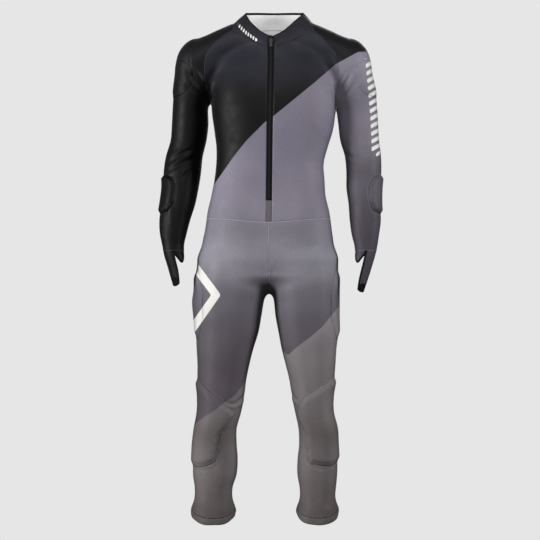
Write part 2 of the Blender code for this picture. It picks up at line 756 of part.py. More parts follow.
def fold_depth(p):
    """How far the folds press the cloth in at each point."""
    total = np.zeros(p.shape[:-1])
    for k in range(len(FOLDS["x1"])):
        x1, z1, x2, z2, depth, width, face = (FOLDS[name][k] for name in FOLDS)
        way = np.array([x2 - x1, z2 - z1])
        length = math.hypot(*way)
        way = way / length
        off = p[..., (0, 2)] - np.array([x1, z1])
        along = np.clip(off @ way / length, -0.5, 1.5)
        across = (off @ np.array([-way[1], way[0]])) / width
        over = np.maximum(np.abs(along - 0.5) - 0.35, 0) / 0.18
        on_face = 1 / (1 + np.exp(-(p[..., 1] * face + 0.012) / 0.004))
        total += depth * np.exp(-across**2 - over**2) * on_face
    return total


def grid_outward(grid, centre):
    """Unit vectors across a grid that isn't on the figure, away from its centre."""
    down = np.gradient(grid, axis=0)
    along = np.gradient(grid, axis=1)
    across = np.cross(down, along)
    across /= np.maximum(np.linalg.norm(across, axis=-1, keepdims=True), 1e-12)
    side = ((grid - centre) * across).sum(axis=-1).mean()
    return across * (1 if side > 0 else -1)


def zip_grid(first, last):
    """The strip between the two fronts, through some of their rows."""
    right, left = zip_edge("right")[first:last + 1], zip_edge("left")[first:last + 1]
    middle = onto_figure((right + left) / 2)
    return settled(np.stack([right, middle, left], axis=1))


def tongue_grid(side):
    """The pointed end of a sleeve, which goes over the back of the hand."""
    last = sleeve_rows(side)[-1]
    first, end = TONGUE_COLUMNS
    rows = [last[first:end + 1]]
    for share in np.linspace(0, 1, TONGUE_ROWS + 1)[1:]:
        angles = np.radians(np.linspace(
            float(smooth(share, TONGUE["share"], TONGUE["front_angle"])),
            float(smooth(share, TONGUE["share"], TONGUE["back_angle"])),
            end - first + 1,
        ))
        x = float(smooth(share, TONGUE["share"], TONGUE[side + "_x"]))
        z = float(smooth(share, TONGUE["share"], TONGUE[side + "_z"]))
        tip = TONGUE_TIP * share**3 * (1 - np.linspace(-1, 1, len(angles)) ** 2)
        rows.append(np.stack([
            x + SIDES[side] * TONGUE_RADIUS * np.cos(angles),
            TONGUE_Y - TONGUE_RADIUS * np.sin(angles),
            z - tip,
        ], axis=1))
    return np.array(rows)


def flap_grid(side):
    """A small flap below the cuff, on the thumb's other side from the tongue."""
    first, end = FLAP_COLUMNS
    last = sleeve_rows(side)[-1, first:end + 1]
    middle = last.mean(axis=0)
    rows = []
    for share in np.linspace(0, 1, FLAP_ROWS + 1):
        row = middle + (last - middle) * (1 - FLAP_NARROWING * share**1.5)
        bend = 1 - np.linspace(-1, 1, len(row)) ** 2
        row[:, 2] -= FLAP_DROP * share * (0.75 + 0.25 * bend)
        row[:, 0] -= SIDES[side] * FLAP_SPREAD * share
        rows.append(row)
    return np.array(rows)


def limb_points(side, middle, heights, angles):
    """Points on a limb at given heights and angles: 0 is the outer side and 90 the
    front."""
    turn = np.radians(angles)
    way = np.stack([SIDES[side] * np.cos(turn), -np.sin(turn), 0 * turn], axis=-1)
    start = np.array([[middle(side, z) for z in row] for row in heights])
    reach = np.full(heights.shape + (1,), 0.03)
    for _ in range(25):
        at = (start + reach * way).reshape(-1, 3)
        reach = reach - figure(at).reshape(reach.shape)
    return start + reach * way


def pad_grid(name, side):
    """A pad's points on the figure: a column for each angle, from its top down."""
    pad = PADS.get(name) or PADS[name + "_" + side]
    rows, columns = PAD_CELLS[name]
    angles = np.linspace(pad["angle"][0], pad["angle"][-1], columns + 1)
    top = smooth(angles, pad["angle"], pad["top"])
    bottom = smooth(angles, pad["angle"], pad["bottom"])
    share = np.linspace(0, 1, rows + 1)[:, None]
    heights = top * (1 - share) + bottom * share
    middle = leg_middle if name in ("knee", "thigh") else arm_middle
    return limb_points(side, middle, heights, np.tile(angles, (rows + 1, 1)))


def pad_profile(rows, columns):
    """How high a pad is at each point, as a share: low at its edges."""
    r = np.minimum(np.arange(rows), np.arange(rows)[::-1])[:, None]
    c = np.minimum(np.arange(columns), np.arange(columns)[::-1])[None, :]
    return np.where(np.minimum(r, c) == 0, 0.25, np.where(np.minimum(r, c) == 1, 0.9, 1.0))


def inset(grid, gap):
    """Pulls a grid's four edges in by a gap, so that neighbours stay apart."""
    grid = grid.copy()
    for edge, inside in (
        (np.s_[0, :], np.s_[1, :]),
        (np.s_[-1, :], np.s_[-2, :]),
        (np.s_[:, 0], np.s_[:, 1]),
        (np.s_[:, -1], np.s_[:, -2]),
    ):
        way = grid[inside] - grid[edge]
        along = np.gradient(grid[edge], axis=0)
        along /= np.maximum(np.linalg.norm(along, axis=-1, keepdims=True), 1e-9)
        way = way - 0.97 * (way * along).sum(axis=-1, keepdims=True) * along
        size = np.linalg.norm(way, axis=-1, keepdims=True)
        grid[edge] += way / np.maximum(size, 1e-6) * gap
    return grid


def material(name, colour, roughness, metallic=0.0):
    made = bpy.data.materials.get(name) or bpy.data.materials.new(name)
    made.use_nodes = True
    shader = made.node_tree.nodes["Principled BSDF"]
    shader.inputs["Base Color"].default_value = (*colour, 1)
    shader.inputs["Roughness"].default_value = roughness
    shader.inputs["Metallic"].default_value = metallic
    return made


def add_object(name, vertices, faces, finish):
    """One closed body with its faces pointing out."""
    mesh = bpy.data.meshes.new(name)
    mesh.from_pydata([tuple(v) for v in vertices], [], faces)
    work = bmesh.new()
    work.from_mesh(mesh)
    bmesh.ops.recalc_face_normals(work, faces=work.faces)
    if work.calc_volume(signed=True) < 0:
        bmesh.ops.reverse_faces(work, faces=work.faces)
    work.to_mesh(mesh)
    work.free()
    mesh.materials.append(material(*finish))
    made = bpy.data.objects.new(name, mesh)
    bpy.context.scene.collection.objects.link(made)
    return made


def halves(grid, loop):
    """A cell's two triangles. They meet on the shorter line across it."""
    a, b, c, d = (grid[corner] for corner in loop)
    turn = 0 if np.linalg.norm(a - c) < np.linalg.norm(b - d) else 1
    loop = loop[turn:] + loop[:turn]
    return [[loop[0], loop[1], loop[2]], [loop[0], loop[2], loop[3]]]


def wall_object(name, outer, inner, finish, kept=None):
    """A wall between two grids of points. kept says which cells there are."""
    rows, columns = outer.shape[:2]
    if kept is None:
        kept = np.ones((rows - 1, columns - 1), bool)
    number = {}
    vertices, faces = [], []

    def at(layer, i, j):
        key = (layer, i, j)
        if key not in number:
            number[key] = len(vertices)
            vertices.append((outer, inner)[layer][i, j])
        return number[key]

    def is_kept(i, j):
        return 0 <= i < rows - 1 and 0 <= j < columns - 1 and kept[i, j]

    for i, j in zip(*np.nonzero(kept)):
        i, j = int(i), int(j)
        loop = [(i, j), (i + 1, j), (i + 1, j + 1), (i, j + 1)]
        for half in halves(outer, loop):
            faces.append([at(0, *corner) for corner in half])
            faces.append([at(1, *corner) for corner in reversed(half)])
        beside = [(i, j - 1), (i + 1, j), (i, j + 1), (i - 1, j)]
        for k, other in enumerate(beside):
            if not is_kept(*other):
                a, b = loop[k], loop[(k + 1) % 4]
                rim = [at(0, *b), at(0, *a), at(1, *a), at(1, *b)]
                one = np.linalg.norm(outer[b] - inner[a])
                other = np.linalg.norm(outer[a] - inner[b])
                turn = 0 if one < other else 1
                rim = rim[turn:] + rim[:turn]
                faces += [rim[:3], [rim[0], rim[2], rim[3]]]
    return add_object(name, vertices, faces, finish)


def cloth(name, grid, finish, wall=WALL, kept=None):
    """A panel of cloth, its outer face on the figure and the wall inside it."""
    grid = inset(grid, SEAM_GAP * 0.6)
    out = outward(grid)
    grid = grid - fold_depth(grid)[..., None] * out
    return wall_object(name, grid, grid - wall * out, finish, kept)


BLACK = ("black print", (0.018, 0.018, 0.022), 0.45)
GREY = ("grey print", (0.19, 0.18, 0.20), 0.45)
DARK_GREY = ("dark grey print", (0.11, 0.10, 0.115), 0.50)
LIGHT_GREY = ("lower leg print", (0.13, 0.118, 0.12), 0.55)
WHITE = ("white inside", (0.85, 0.85, 0.86), 0.60)
TAPE = ("zip tape", (0.012, 0.012, 0.013), 0.60)
METAL = ("slider", (0.05, 0.05, 0.055), 0.35, 0.6)
RUBBER = ("pull", (0.03, 0.03, 0.032), 0.50)


def build_body():
    cloth("front_right", front_panel("right"), BLACK)
    cloth("front_left", front_panel("left"), GREY)
    cloth("back", back_panel(), BLACK)


def build_collar():
    grid = inset(collar_grid(), SEAM_GAP * 0.6)
    out = grid_outward(grid, np.array([NECK_X, COLLAR_MIDDLE_Y, 0]))
    wall_object("collar", grid, grid - WALL * out, BLACK)
    facing = (grid - (WALL + FACING_GAP) * out)[:-1]
    facing = inset(facing, FACING_EDGE)
    wall_object("collar_facing", facing, facing - FACING_WALL * out[:-1], WHITE)


def build_zip():
    """The tape runs up between the ends of the collar."""
    collar = collar_grid()
    ends = np.stack([collar[:, 0], (collar[:, 0] + collar[:, -1]) / 2, collar[:, -1]], axis=1)
    ends[:, 1] += np.array([0, -0.001, 0])
    tape = np.concatenate([ends[:0:-1], zip_grid(0, ZIP_FOOT_ROW)])
    tape = inset(tape, SEAM_GAP * 0.6)
    out = grid_outward(tape, np.array([0, 0.1, -0.25]))
    raised = tape.copy()
    raised[:, 1] += ZIP_RISE * out[:, 1]
    wall_object("zip_tape", raised, tape - ZIP_WALL * out, TAPE)
    strip = inset(zip_grid(ZIP_FOOT_ROW, RAGLAN_ROWS + BODY_ROWS), SEAM_GAP * 0.6)
    wall_object("fly_strip", strip, strip - WALL * outward(strip), DARK_GREY)


def box_object(name, middle, size, finish, lean=0.0):
    x, y, z = np.array(size) / 2
    corners = [(a * x, b * y, c * z) for a in (-1, 1) for b in (-1, 1) for c in (-1, 1)]
    turn = Matrix.Rotation(lean, 3, "X")
    vertices = [Vector(middle) + turn @ Vector(corner) for corner in corners]
    faces = [(0, 1, 3, 2), (4, 6, 7, 5), (0, 4, 5, 1), (2, 3, 7, 6), (0, 2, 6, 4), (1, 5, 7, 3)]
    return add_object(name, vertices, faces, finish)


def build_slider():
    """The slider near the zip's top, with its pull hanging against its front."""
    collar = collar_grid()
    line = (collar[:, 0] + collar[:, -1]) / 2
    foot, top = line[0], line[-1]
    lean = -math.atan2(top[1] - foot[1], top[2] - foot[2])
    middle = foot + (top - foot) * (SLIDER_Z - foot[2]) / (top[2] - foot[2])
    middle = middle + np.array([0, -SLIDER_OFF, 0])
    box_object("zip_slider", middle, SLIDER_SIZE, METAL, lean)
    off = (SLIDER_SIZE[1] + PULL_SIZE[1]) / 2 + SEAM_GAP
    turn = Matrix.Rotation(lean, 3, "X")
    middle = Vector(middle) + turn @ Vector((0, -off, -PULL_DROP))
    box_object("zip_pull", middle, PULL_SIZE, RUBBER, lean)


def build_pads():
    for name in PAD_CELLS:
        for side in SIDES:
            base = pad_grid(name, side)
            out = outward(base)
            share = pad_profile(*base.shape[:2])[:, :, None]
            top = base + (PAD_LIFT + PAD_HEIGHT * share) * out
            finish = BLACK if name in ("shoulder", "forearm") else DARK_GREY
            wall_object(name + "_pad_" + side, top, base + PAD_LIFT * out, finish)


def build_sleeves():
    for side in SIDES:
        finish = BLACK if side == "right" else GREY
        cloth("sleeve_" + side, sleeve_rows(side), finish)
        flap = inset(flap_grid(side), SEAM_GAP * 0.9)
        out = np.tile(outward(flap[0]), (len(flap), 1, 1))
        wall_object("palm_flap_" + side, flap, flap - WALL * out, finish)
        tongue = inset(tongue_grid(side), SEAM_GAP * 0.6)
        middle = np.array([TONGUE["left_x"][0] * SIDES[side], TONGUE_Y, CUFF_Z])
        out = grid_outward(tongue, middle)
        out[0] = outward(tongue[0])
        wall_object("hand_tongue_" + side, tongue, tongue - WALL * out, finish)


def build_legs():
    for side in SIDES:
        cloth("leg_front_" + side, leg_panel(side, -1), GREY)
        cloth("leg_back_" + side, leg_panel(side, 1), DARK_GREY)
        band = inset(hem_band(side), SEAM_GAP * 0.6)
        wall_object("hem_band_" + side, band, band - WALL * outward(band), DARK_GREY)


def clear_scene():
    for old in list(bpy.data.objects):
        bpy.data.objects.remove(old)


def main():
    clear_scene()
    build_body()
    build_collar()
    build_zip()
    build_slider()
    build_sleeves()
    build_legs()
    build_pads()


main()
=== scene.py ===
# %% [markdown]
# # A padded ski race suit
# This lesson dresses a plain model of a race suit. The real suit is a tight one-piece of
# satin knit, printed from black to grey, white on its inside, with foam pads at the
# shoulders, forearms, thighs and knees. It could be draped by a cloth simulation, but a
# stretch suit lies on its wearer, so its surface is worked out directly: the same smooth
# figure as in the model, only with finer rows of points.

# %% Load the frame
import functools
import math

import bmesh
import bpy
import numpy as np
from mathutils import Matrix, Vector


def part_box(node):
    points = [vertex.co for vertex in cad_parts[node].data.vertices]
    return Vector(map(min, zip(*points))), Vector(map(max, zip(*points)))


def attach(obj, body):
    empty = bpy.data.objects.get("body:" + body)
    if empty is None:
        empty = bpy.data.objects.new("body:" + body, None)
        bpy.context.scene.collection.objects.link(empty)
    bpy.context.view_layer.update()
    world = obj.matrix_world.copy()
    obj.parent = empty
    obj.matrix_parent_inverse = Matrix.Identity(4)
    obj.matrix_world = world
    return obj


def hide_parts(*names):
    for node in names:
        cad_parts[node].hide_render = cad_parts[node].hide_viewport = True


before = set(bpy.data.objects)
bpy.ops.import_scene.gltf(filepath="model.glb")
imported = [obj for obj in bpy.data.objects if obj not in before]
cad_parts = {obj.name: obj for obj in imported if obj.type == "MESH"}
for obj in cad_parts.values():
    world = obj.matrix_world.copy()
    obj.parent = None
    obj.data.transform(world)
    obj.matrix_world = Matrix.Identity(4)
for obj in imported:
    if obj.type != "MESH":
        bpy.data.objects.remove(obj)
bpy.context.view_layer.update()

# %% [markdown]
# The camera looks level at the middle of the suit, from far enough that the lens is
# long. One step of the front view is one point of the picture at the suit's depth.

# %% Camera
STEP = 0.00265
DISTANCE = 4.3
MIDDLE_COLUMN, ORIGIN_ROW, MIDDLE_ROW = 270.0, 28.0, 270.0
EYE_Z = (ORIGIN_ROW - MIDDLE_ROW) * STEP
SENSOR = 36.0

camera_data = bpy.data.cameras.new("camera")
camera = bpy.data.objects.new("camera", camera_data)
bpy.context.scene.collection.objects.link(camera)
camera_data.sensor_width = SENSOR
camera_data.lens = SENSOR * DISTANCE / (540 * STEP)
camera.location = (0, -DISTANCE, EYE_Z)
camera.rotation_euler = (math.radians(90), 0, 0)
bpy.context.scene.camera = camera
print("lens", round(camera_data.lens, 1))

# %% [markdown]
# The suit's sizes, in short tables. The trunk, the yoke of the shoulders, the neck, the
# arms and the legs are columns of level sections. They join with soft fillets.

# %% Sizes
WALL = 0.0012
EDGE_GAP = 0.00010
PAD_LIFT = 0.0006
PAD_HEIGHT = 0.0066
FINER = 7

RAGLAN_ROWS = 8
BODY_ROWS = 11
ARM_ROWS = 16
HIP_ROWS = 7
LEG_ROWS = 19
FRONT_COLUMNS = 8
HALF_SLEEVE_COLUMNS = 8
HALF_BACK_COLUMNS = 8
LEG_COLUMNS = 8
TONGUE_ROWS = 6
HEM_ROWS = 2
SLEEVE_ROUNDS = 2
COLLAR_SHARES = (0.0, 0.42, 0.84, 1.0)
ZIP_FOOT_ROW = RAGLAN_ROWS + 9
COLLAR_FRONT_Z = -0.052
ZIP_FOOT_Z = -0.458
WAIST_SEAM_Z = -0.508
CROTCH = (-0.001, 0.012, -0.693)
HEM_Z = -1.2885
HEM_BAND_Z = -1.2695
CUFF_Z = -0.590
CHEST_X = 0.0093
NECK_X = 0.0125
NECK_FRONT_X = 0.0045
HEM_SLOPE = 0.55
HEM_SLOPE_START_Z = -1.09
ZIP_HALF = 0.0080
ZIP_WALL = 0.0012
ZIP_RISE = 0.0015
SIDES = {"right": -1, "left": 1}


def table(columns, rows):
    """A short table as a dictionary with one array for each named column."""
    values = np.array(rows, float)
    return dict(zip(columns.split(), values.T))


# The trunk: front and back are distances from the plane y = 0
TRUNK = table("z x half front back square", [
    (-0.050, 0.0110, 0.080, 0.062, 0.086, 2.0),
    (-0.085, 0.0093, 0.140, 0.080, 0.100, 2.1),
    (-0.130, 0.0093, 0.158, 0.099, 0.112, 2.3),
    (-0.175, 0.0093, 0.163, 0.112, 0.118, 2.4),
    (-0.212, 0.0095, 0.164, 0.117, 0.119, 2.4),
    (-0.276, 0.0093, 0.156, 0.113, 0.111, 2.4),
    (-0.318, 0.0053, 0.147, 0.108, 0.103, 2.4),
    (-0.360, 0.0000, 0.142, 0.104, 0.095, 2.4),
    (-0.403, -0.0013, 0.1455, 0.102, 0.091, 2.4),
    (-0.445, -0.0040, 0.151, 0.102, 0.093, 2.4),
    (-0.488, -0.0040, 0.161, 0.103, 0.100, 2.4),
    (-0.530, -0.0040, 0.167, 0.104, 0.111, 2.4),
    (-0.572, -0.0053, 0.174, 0.103, 0.122, 2.4),
    (-0.615, -0.0053, 0.176, 0.098, 0.127, 2.3),
    (-0.650, -0.0070, 0.165, 0.086, 0.118, 2.2),
])
TRUNK_CAPS = (0.020, 0.038)

# The shoulders, a bar across: how high its top is at each distance from the middle
YOKE = table("x top half_height front back", [
    (0.000, 0.018, 0.050, 0.052, 0.082),
    (0.060, 0.018, 0.050, 0.052, 0.080),
    (0.100, 0.014, 0.050, 0.054, 0.074),
    (0.142, -0.003, 0.048, 0.058, 0.070),
    (0.172, -0.017, 0.046, 0.056, 0.066),
    (0.200, -0.031, 0.044, 0.052, 0.060),
])
YOKE_CAP = 0.037

NECK = table("z half front back", [
    (-0.110, 0.082, 0.062, 0.085),
    (-0.060, 0.079, 0.074, 0.090),
    (-0.020, 0.076, 0.064, 0.086),
    (0.030, 0.072, 0.056, 0.080),
    (0.070, 0.070, 0.054, 0.076),
])
NECK_CAP = 0.010

# The arms hang a little away from the trunk, with the wrists forward
ARMS = table("z right_x right_half left_x left_half y depth", [
    (-0.100, -0.1965, 0.0490, 0.2145, 0.0490, 0.004, 0.0600),
    (-0.127, -0.2000, 0.0500, 0.2190, 0.0505, 0.004, 0.0600),
    (-0.170, -0.2054, 0.0500, 0.2266, 0.0530, 0.006, 0.0580),
    (-0.212, -0.2112, 0.0472, 0.2306, 0.0540, 0.009, 0.0560),
    (-0.254, -0.2122, 0.0485, 0.2345, 0.0530, 0.012, 0.0550),
    (-0.297, -0.2165, 0.0477, 0.2385, 0.0515, 0.014, 0.0530),
    (-0.339, -0.2275, 0.0488, 0.2470, 0.0480, 0.013, 0.0520),
    (-0.382, -0.2325, 0.0495, 0.2491, 0.0464, 0.008, 0.0530),
    (-0.424, -0.2355, 0.0462, 0.2473, 0.0446, 0.002, 0.0520),
    (-0.466, -0.2420, 0.0445, 0.2493, 0.0413, -0.005, 0.0480),
    (-0.509, -0.2515, 0.0408, 0.2518, 0.0411, -0.012, 0.0420),
    (-0.551, -0.2555, 0.0342, 0.2518, 0.0355, -0.019, 0.0350),
    (-0.572, -0.2555, 0.0295, 0.2528, 0.0312, -0.022, 0.0310),
    (-0.600, -0.2530, 0.0265, 0.2520, 0.0265, -0.025, 0.0280),
])
ARM_CAPS = (0.048, 0.010)

# The legs: the wearer's right leg turns out a little more than the left
LEGS = table("z right_x right_half left_x left_half front back", [
    (-0.620, -0.1020, 0.0860, 0.0920, 0.0835, 0.092, 0.122),
    (-0.657, -0.1050, 0.0925, 0.0935, 0.0880, 0.094, 0.124),
    (-0.700, -0.1050, 0.0945, 0.0935, 0.0875, 0.096, 0.119),
    (-0.721, -0.1090, 0.0935, 0.0955, 0.0855, 0.096, 0.114),
    (-0.763, -0.1111, 0.0885, 0.0977, 0.0831, 0.094, 0.106),
    (-0.806, -0.1133, 0.0828, 0.1019, 0.0793, 0.090, 0.100),
    (-0.848, -0.1190, 0.0755, 0.1034, 0.0729, 0.085, 0.094),
    (-0.890, -0.1232, 0.0690, 0.1073, 0.0663, 0.080, 0.088),
    (-0.933, -0.1275, 0.0645, 0.1107, 0.0593, 0.076, 0.080),
    (-0.975, -0.1280, 0.0597, 0.1105, 0.0527, 0.073, 0.073),
    (-1.018, -0.1325, 0.0560, 0.1150, 0.0485, 0.071, 0.066),
    (-1.060, -0.1420, 0.0540, 0.1245, 0.0492, 0.067, 0.063),
    (-1.102, -0.1450, 0.0565, 0.1270, 0.0497, 0.057, 0.071),
    (-1.145, -0.1450, 0.0590, 0.1262, 0.0528, 0.048, 0.082),
    (-1.187, -0.1470, 0.0578, 0.1259, 0.0528, 0.042, 0.086),
    (-1.220, -0.1500, 0.0505, 0.1272, 0.0485, 0.036, 0.082),
    (-1.242, -0.1505, 0.0500, 0.1268, 0.0472, 0.033, 0.078),
    (-1.258, -0.1507, 0.0530, 0.1268, 0.0500, 0.034, 0.080),
    (-1.270, -0.1508, 0.0575, 0.1268, 0.0545, 0.037, 0.086),
    (-1.310, -0.1508, 0.0580, 0.1268, 0.0550, 0.037, 0.087),
])
LEG_CAPS = (0.045, 0.020)

# How widely each limb's form runs into the trunk's
SHOULDER_BLEND = 0.040
ARM_BLEND = table("z width", [(-0.240, 0.007), (-0.200, 0.016), (-0.150, 0.045)])
NECK_BLEND = 0.020
HIP_BLEND = 0.034
BETWEEN_LEGS_BLEND = 0.025

# Where the seams in front hang lower in the middle: the place, how much lower, and how
# far to each side and up and down that reaches
SETTLED = table("x z drop half_width height", [
    (0.0040, -0.052, 0.0095, 0.088, 0.070),
    (-0.0035, -0.508, 0.0100, 0.150, 0.090),
])

# The raglan seam runs from the collar to the armpit, in front and behind. The ridge
# is the line over the shoulder that each row of the sleeve crosses.
RAGLAN = table("right_x left_x front_z back_z ridge_x ridge_z", [
    (-0.0970, 0.1130, -0.012, 0.004, 0.1060, 0.019),
    (-0.1390, 0.1440, -0.041, -0.030, 0.1500, -0.004),
    (-0.1660, 0.1710, -0.078, -0.070, 0.2050, -0.026),
    (-0.1710, 0.1800, -0.118, -0.114, 0.2450, -0.058),
    (-0.1680, 0.1790, -0.160, -0.158, 0.2590, -0.105),
    (-0.1580, 0.1745, -0.198, -0.198, 0.2620, -0.165),
])
ARMPIT_Y = 0.012

# The collar's edge, by the angle from the front. It slopes down to the zip.
COLLAR = table("angle x y z", [
    (0, 0.0000, -0.064, -0.0325),
    (30, 0.0310, -0.056, -0.0160),
    (60, 0.0590, -0.030, 0.0130),
    (90, 0.0765, 0.006, 0.0385),
    (120, 0.0670, 0.042, 0.0450),
    (150, 0.0380, 0.066, 0.0485),
    (180, 0.0000, 0.074, 0.0490),
])
COLLAR_MIDDLE_Y = 0.012
COLLAR_SWELL = 0.003

# The sleeve's pointed end, a part of a tube: angles from its outer side to the front
TONGUE = table("share right_x right_z left_x left_z front_angle back_angle", [
    (0.00, -0.2530, -0.590, 0.2520, -0.590, 90, -22),
    (0.25, -0.2480, -0.610, 0.2450, -0.615, 86, -17),
    (0.50, -0.2400, -0.634, 0.2360, -0.643, 82, -10),
    (0.75, -0.2330, -0.657, 0.2270, -0.669, 76, -3),
    (1.00, -0.2270, -0.676, 0.2190, -0.692, 66, 6),
])
TONGUE_COLUMNS = (4, 9)
TONGUE_RADIUS = 0.029
TONGUE_Y = -0.025
TONGUE_TIP = 0.006

# The small pointed flap inside the thumb's notch
FLAP_COLUMNS = (1, 4)
FLAP_ROWS = 3
FLAP_DROP = 0.030
FLAP_NARROWING = 0.55
FLAP_SPREAD = 0.008

# Pads on the limbs, a row for each angle as for the tongue: how high the pad's top
# and bottom are there
PADS = {
    "shoulder": table("angle top bottom", [
        (-72, -0.116, -0.150),
        (-52, -0.095, -0.172),
        (0, -0.088, -0.186),
        (50, -0.090, -0.184),
        (72, -0.100, -0.176),
        (87, -0.120, -0.156),
    ]),
    "forearm": table("angle top bottom", [
        (-66, -0.424, -0.456),
        (-58, -0.404, -0.476),
        (-40, -0.394, -0.486),
        (0, -0.390, -0.492),
        (50, -0.394, -0.489),
        (66, -0.402, -0.482),
        (75, -0.424, -0.460),
    ]),
    "thigh": table("angle top bottom", [
        (-48, -0.712, -0.754),
        (-40, -0.684, -0.782),
        (0, -0.648, -0.816),
        (40, -0.672, -0.796),
        (49, -0.708, -0.760),
    ]),
    "knee_right": table("angle top bottom", [
        (-36, -0.966, -1.124),
        (-24, -0.942, -1.148),
        (0, -0.929, -1.160),
        (20, -0.927, -1.161),
        (57, -0.950, -1.159),
        (80, -0.971, -1.150),
        (94, -0.984, -1.134),
        (100, -0.991, -1.104),
        (104, -0.996, -1.074),
        (114, -1.004, -1.060),
        (122, -1.012, -1.040),
        (128, -1.018, -1.026),
    ]),
    "knee_left": table("angle top bottom", [
        (-36, -0.966, -1.124),
        (-24, -0.942, -1.142),
        (0, -0.926, -1.150),
        (19, -0.922, -1.150),
        (57, -0.934, -1.156),
        (79, -0.951, -1.155),
        (98, -0.967, -1.150),
        (113, -0.979, -1.143),
        (119, -0.985, -1.120),
        (123, -0.990, -1.078),
        (130, -0.998, -1.062),
        (138, -1.010, -1.044),
        (142, -1.018, -1.030),
    ]),
}
PAD_CELLS = {"shoulder": (6, 10), "forearm": (6, 8), "thigh": (8, 7), "knee": (12, 12)}

# The slider and its pull, in front of the zip's top
SLIDER_SIZE = (0.0095, 0.0045, 0.0130)
SLIDER_Z = -0.0440
PULL_SIZE = (0.0075, 0.0022, 0.0220)
PULL_DROP = 0.0075

# The largest folds: a trough's two ends in the front view, how deep and how wide it
# is, and on which face
FOLDS = table("x1 z1 x2 z2 depth width face", [
    (-0.212, -0.102, -0.168, -0.165, 0.0045, 0.013, -1),
    (-0.226, -0.108, -0.184, -0.157, 0.0035, 0.011, -1),
    (0.183, -0.170, 0.222, -0.104, 0.0045, 0.013, -1),
    (0.196, -0.152, 0.224, -0.112, 0.0035, 0.011, -1),
    (-0.226, -0.096, -0.196, -0.140, 0.0040, 0.013, 1),
    (0.180, -0.178, 0.226, -0.100, 0.0045, 0.014, 1),
    (-0.260, -0.348, -0.205, -0.318, 0.0045, 0.014, -1),
    (-0.256, -0.384, -0.196, -0.345, 0.0040, 0.014, -1),
    (0.200, -0.352, 0.236, -0.336, 0.0050, 0.014, -1),
    (-0.064, -0.996, -0.108, -1.012, 0.0030, 0.012, -1),
    (0.056, -0.985, 0.086, -0.996, 0.0030, 0.012, -1),
    (-0.150, -1.000, -0.095, -1.006, 0.0040, 0.014, 1),
    (0.085, -1.000, 0.140, -1.006, 0.0040, 0.014, 1),
])

# The crotch seam, down the front, under and up the back
CROTCH_SEAM = table("front front_z back back_z outseam_z", [
    (-0.104, WAIST_SEAM_Z, 0.106, WAIST_SEAM_Z, WAIST_SEAM_Z),
    (-0.105, -0.560, 0.116, -0.555, -0.548),
    (-0.102, -0.610, 0.124, -0.602, -0.588),
    (-0.090, -0.653, 0.116, -0.648, -0.626),
    (-0.060, -0.684, 0.080, -0.684, -0.662),
    (CROTCH[1], CROTCH[2], CROTCH[1], CROTCH[2], -0.692),
])

# The zip's line: a little off the middle, as the suit leans
ZIP_LINE = table("z x", [
    (-0.020, 0.0040),
    (-0.200, 0.0005),
    (WAIST_SEAM_Z, -0.0035),
])

# %% [markdown]
# The figure is the surface that the cloth lies on. A point's distance from it is worked
# out from the tables, and points are moved along that distance until they lie on it.

# %% The figure and the seams
def smooth(at, xs, ys):
    """Reads a smooth curve through the table's points. It is flat outside them."""
    at = np.asarray(at, float)
    order = np.argsort(xs)
    xs, ys = xs[order], ys[order]
    slopes = np.gradient(ys, xs)
    x = np.clip(at, xs[0], xs[-1])
    k = np.clip(np.searchsorted(xs, x) - 1, 0, len(xs) - 2)
    width = xs[k + 1] - xs[k]
    t = (x - xs[k]) / width
    rise = (2 * t**3 - 3 * t**2 + 1) * ys[k] + (3 * t**2 - 2 * t**3) * ys[k + 1]
    lean = (t**3 - 2 * t**2 + t) * slopes[k] + (t**3 - t**2) * slopes[k + 1]
    return rise + lean * width


def shaped(across, along, half_across, half_along, beyond, cap, power):
    """Signed distance, measured outward from a section's middle, to its round edge."""
    flat = np.abs(across / half_across) ** power + np.abs(along / half_along) ** power
    ratio = np.sqrt(flat ** (2 / power) + (beyond / cap) ** 2)
    reach = np.sqrt(across**2 + along**2 + beyond**2)
    return reach - reach / np.maximum(ratio, 1e-6) - 1e-4 * (reach < 1e-6)


def column_distance(p, z, x, half, front, back, power, caps):
    """Distance to a column of level sections with a round cap at each end."""
    level = np.clip(p[:, 2], z.min(), z.max())
    over = np.maximum(p[:, 2] - z.max(), 0)
    under = np.maximum(z.min() - p[:, 2], 0)
    front_y, back_y = smooth(level, z, front), smooth(level, z, back)
    return shaped(
        p[:, 0] - smooth(level, z, x),
        p[:, 1] - (back_y - front_y) / 2,
        smooth(level, z, half),
        (front_y + back_y) / 2,
        over + under,
        np.where(over > 0, caps[0], caps[1]),
        smooth(level, z, power) if np.ndim(power) else power,
    )


def joined(a, b, width):
    """The union of two forms, with a fillet about as wide as width."""
    near = np.maximum(width - np.abs(a - b), 0) / width
    return np.minimum(a, b) - near**2 * width / 4


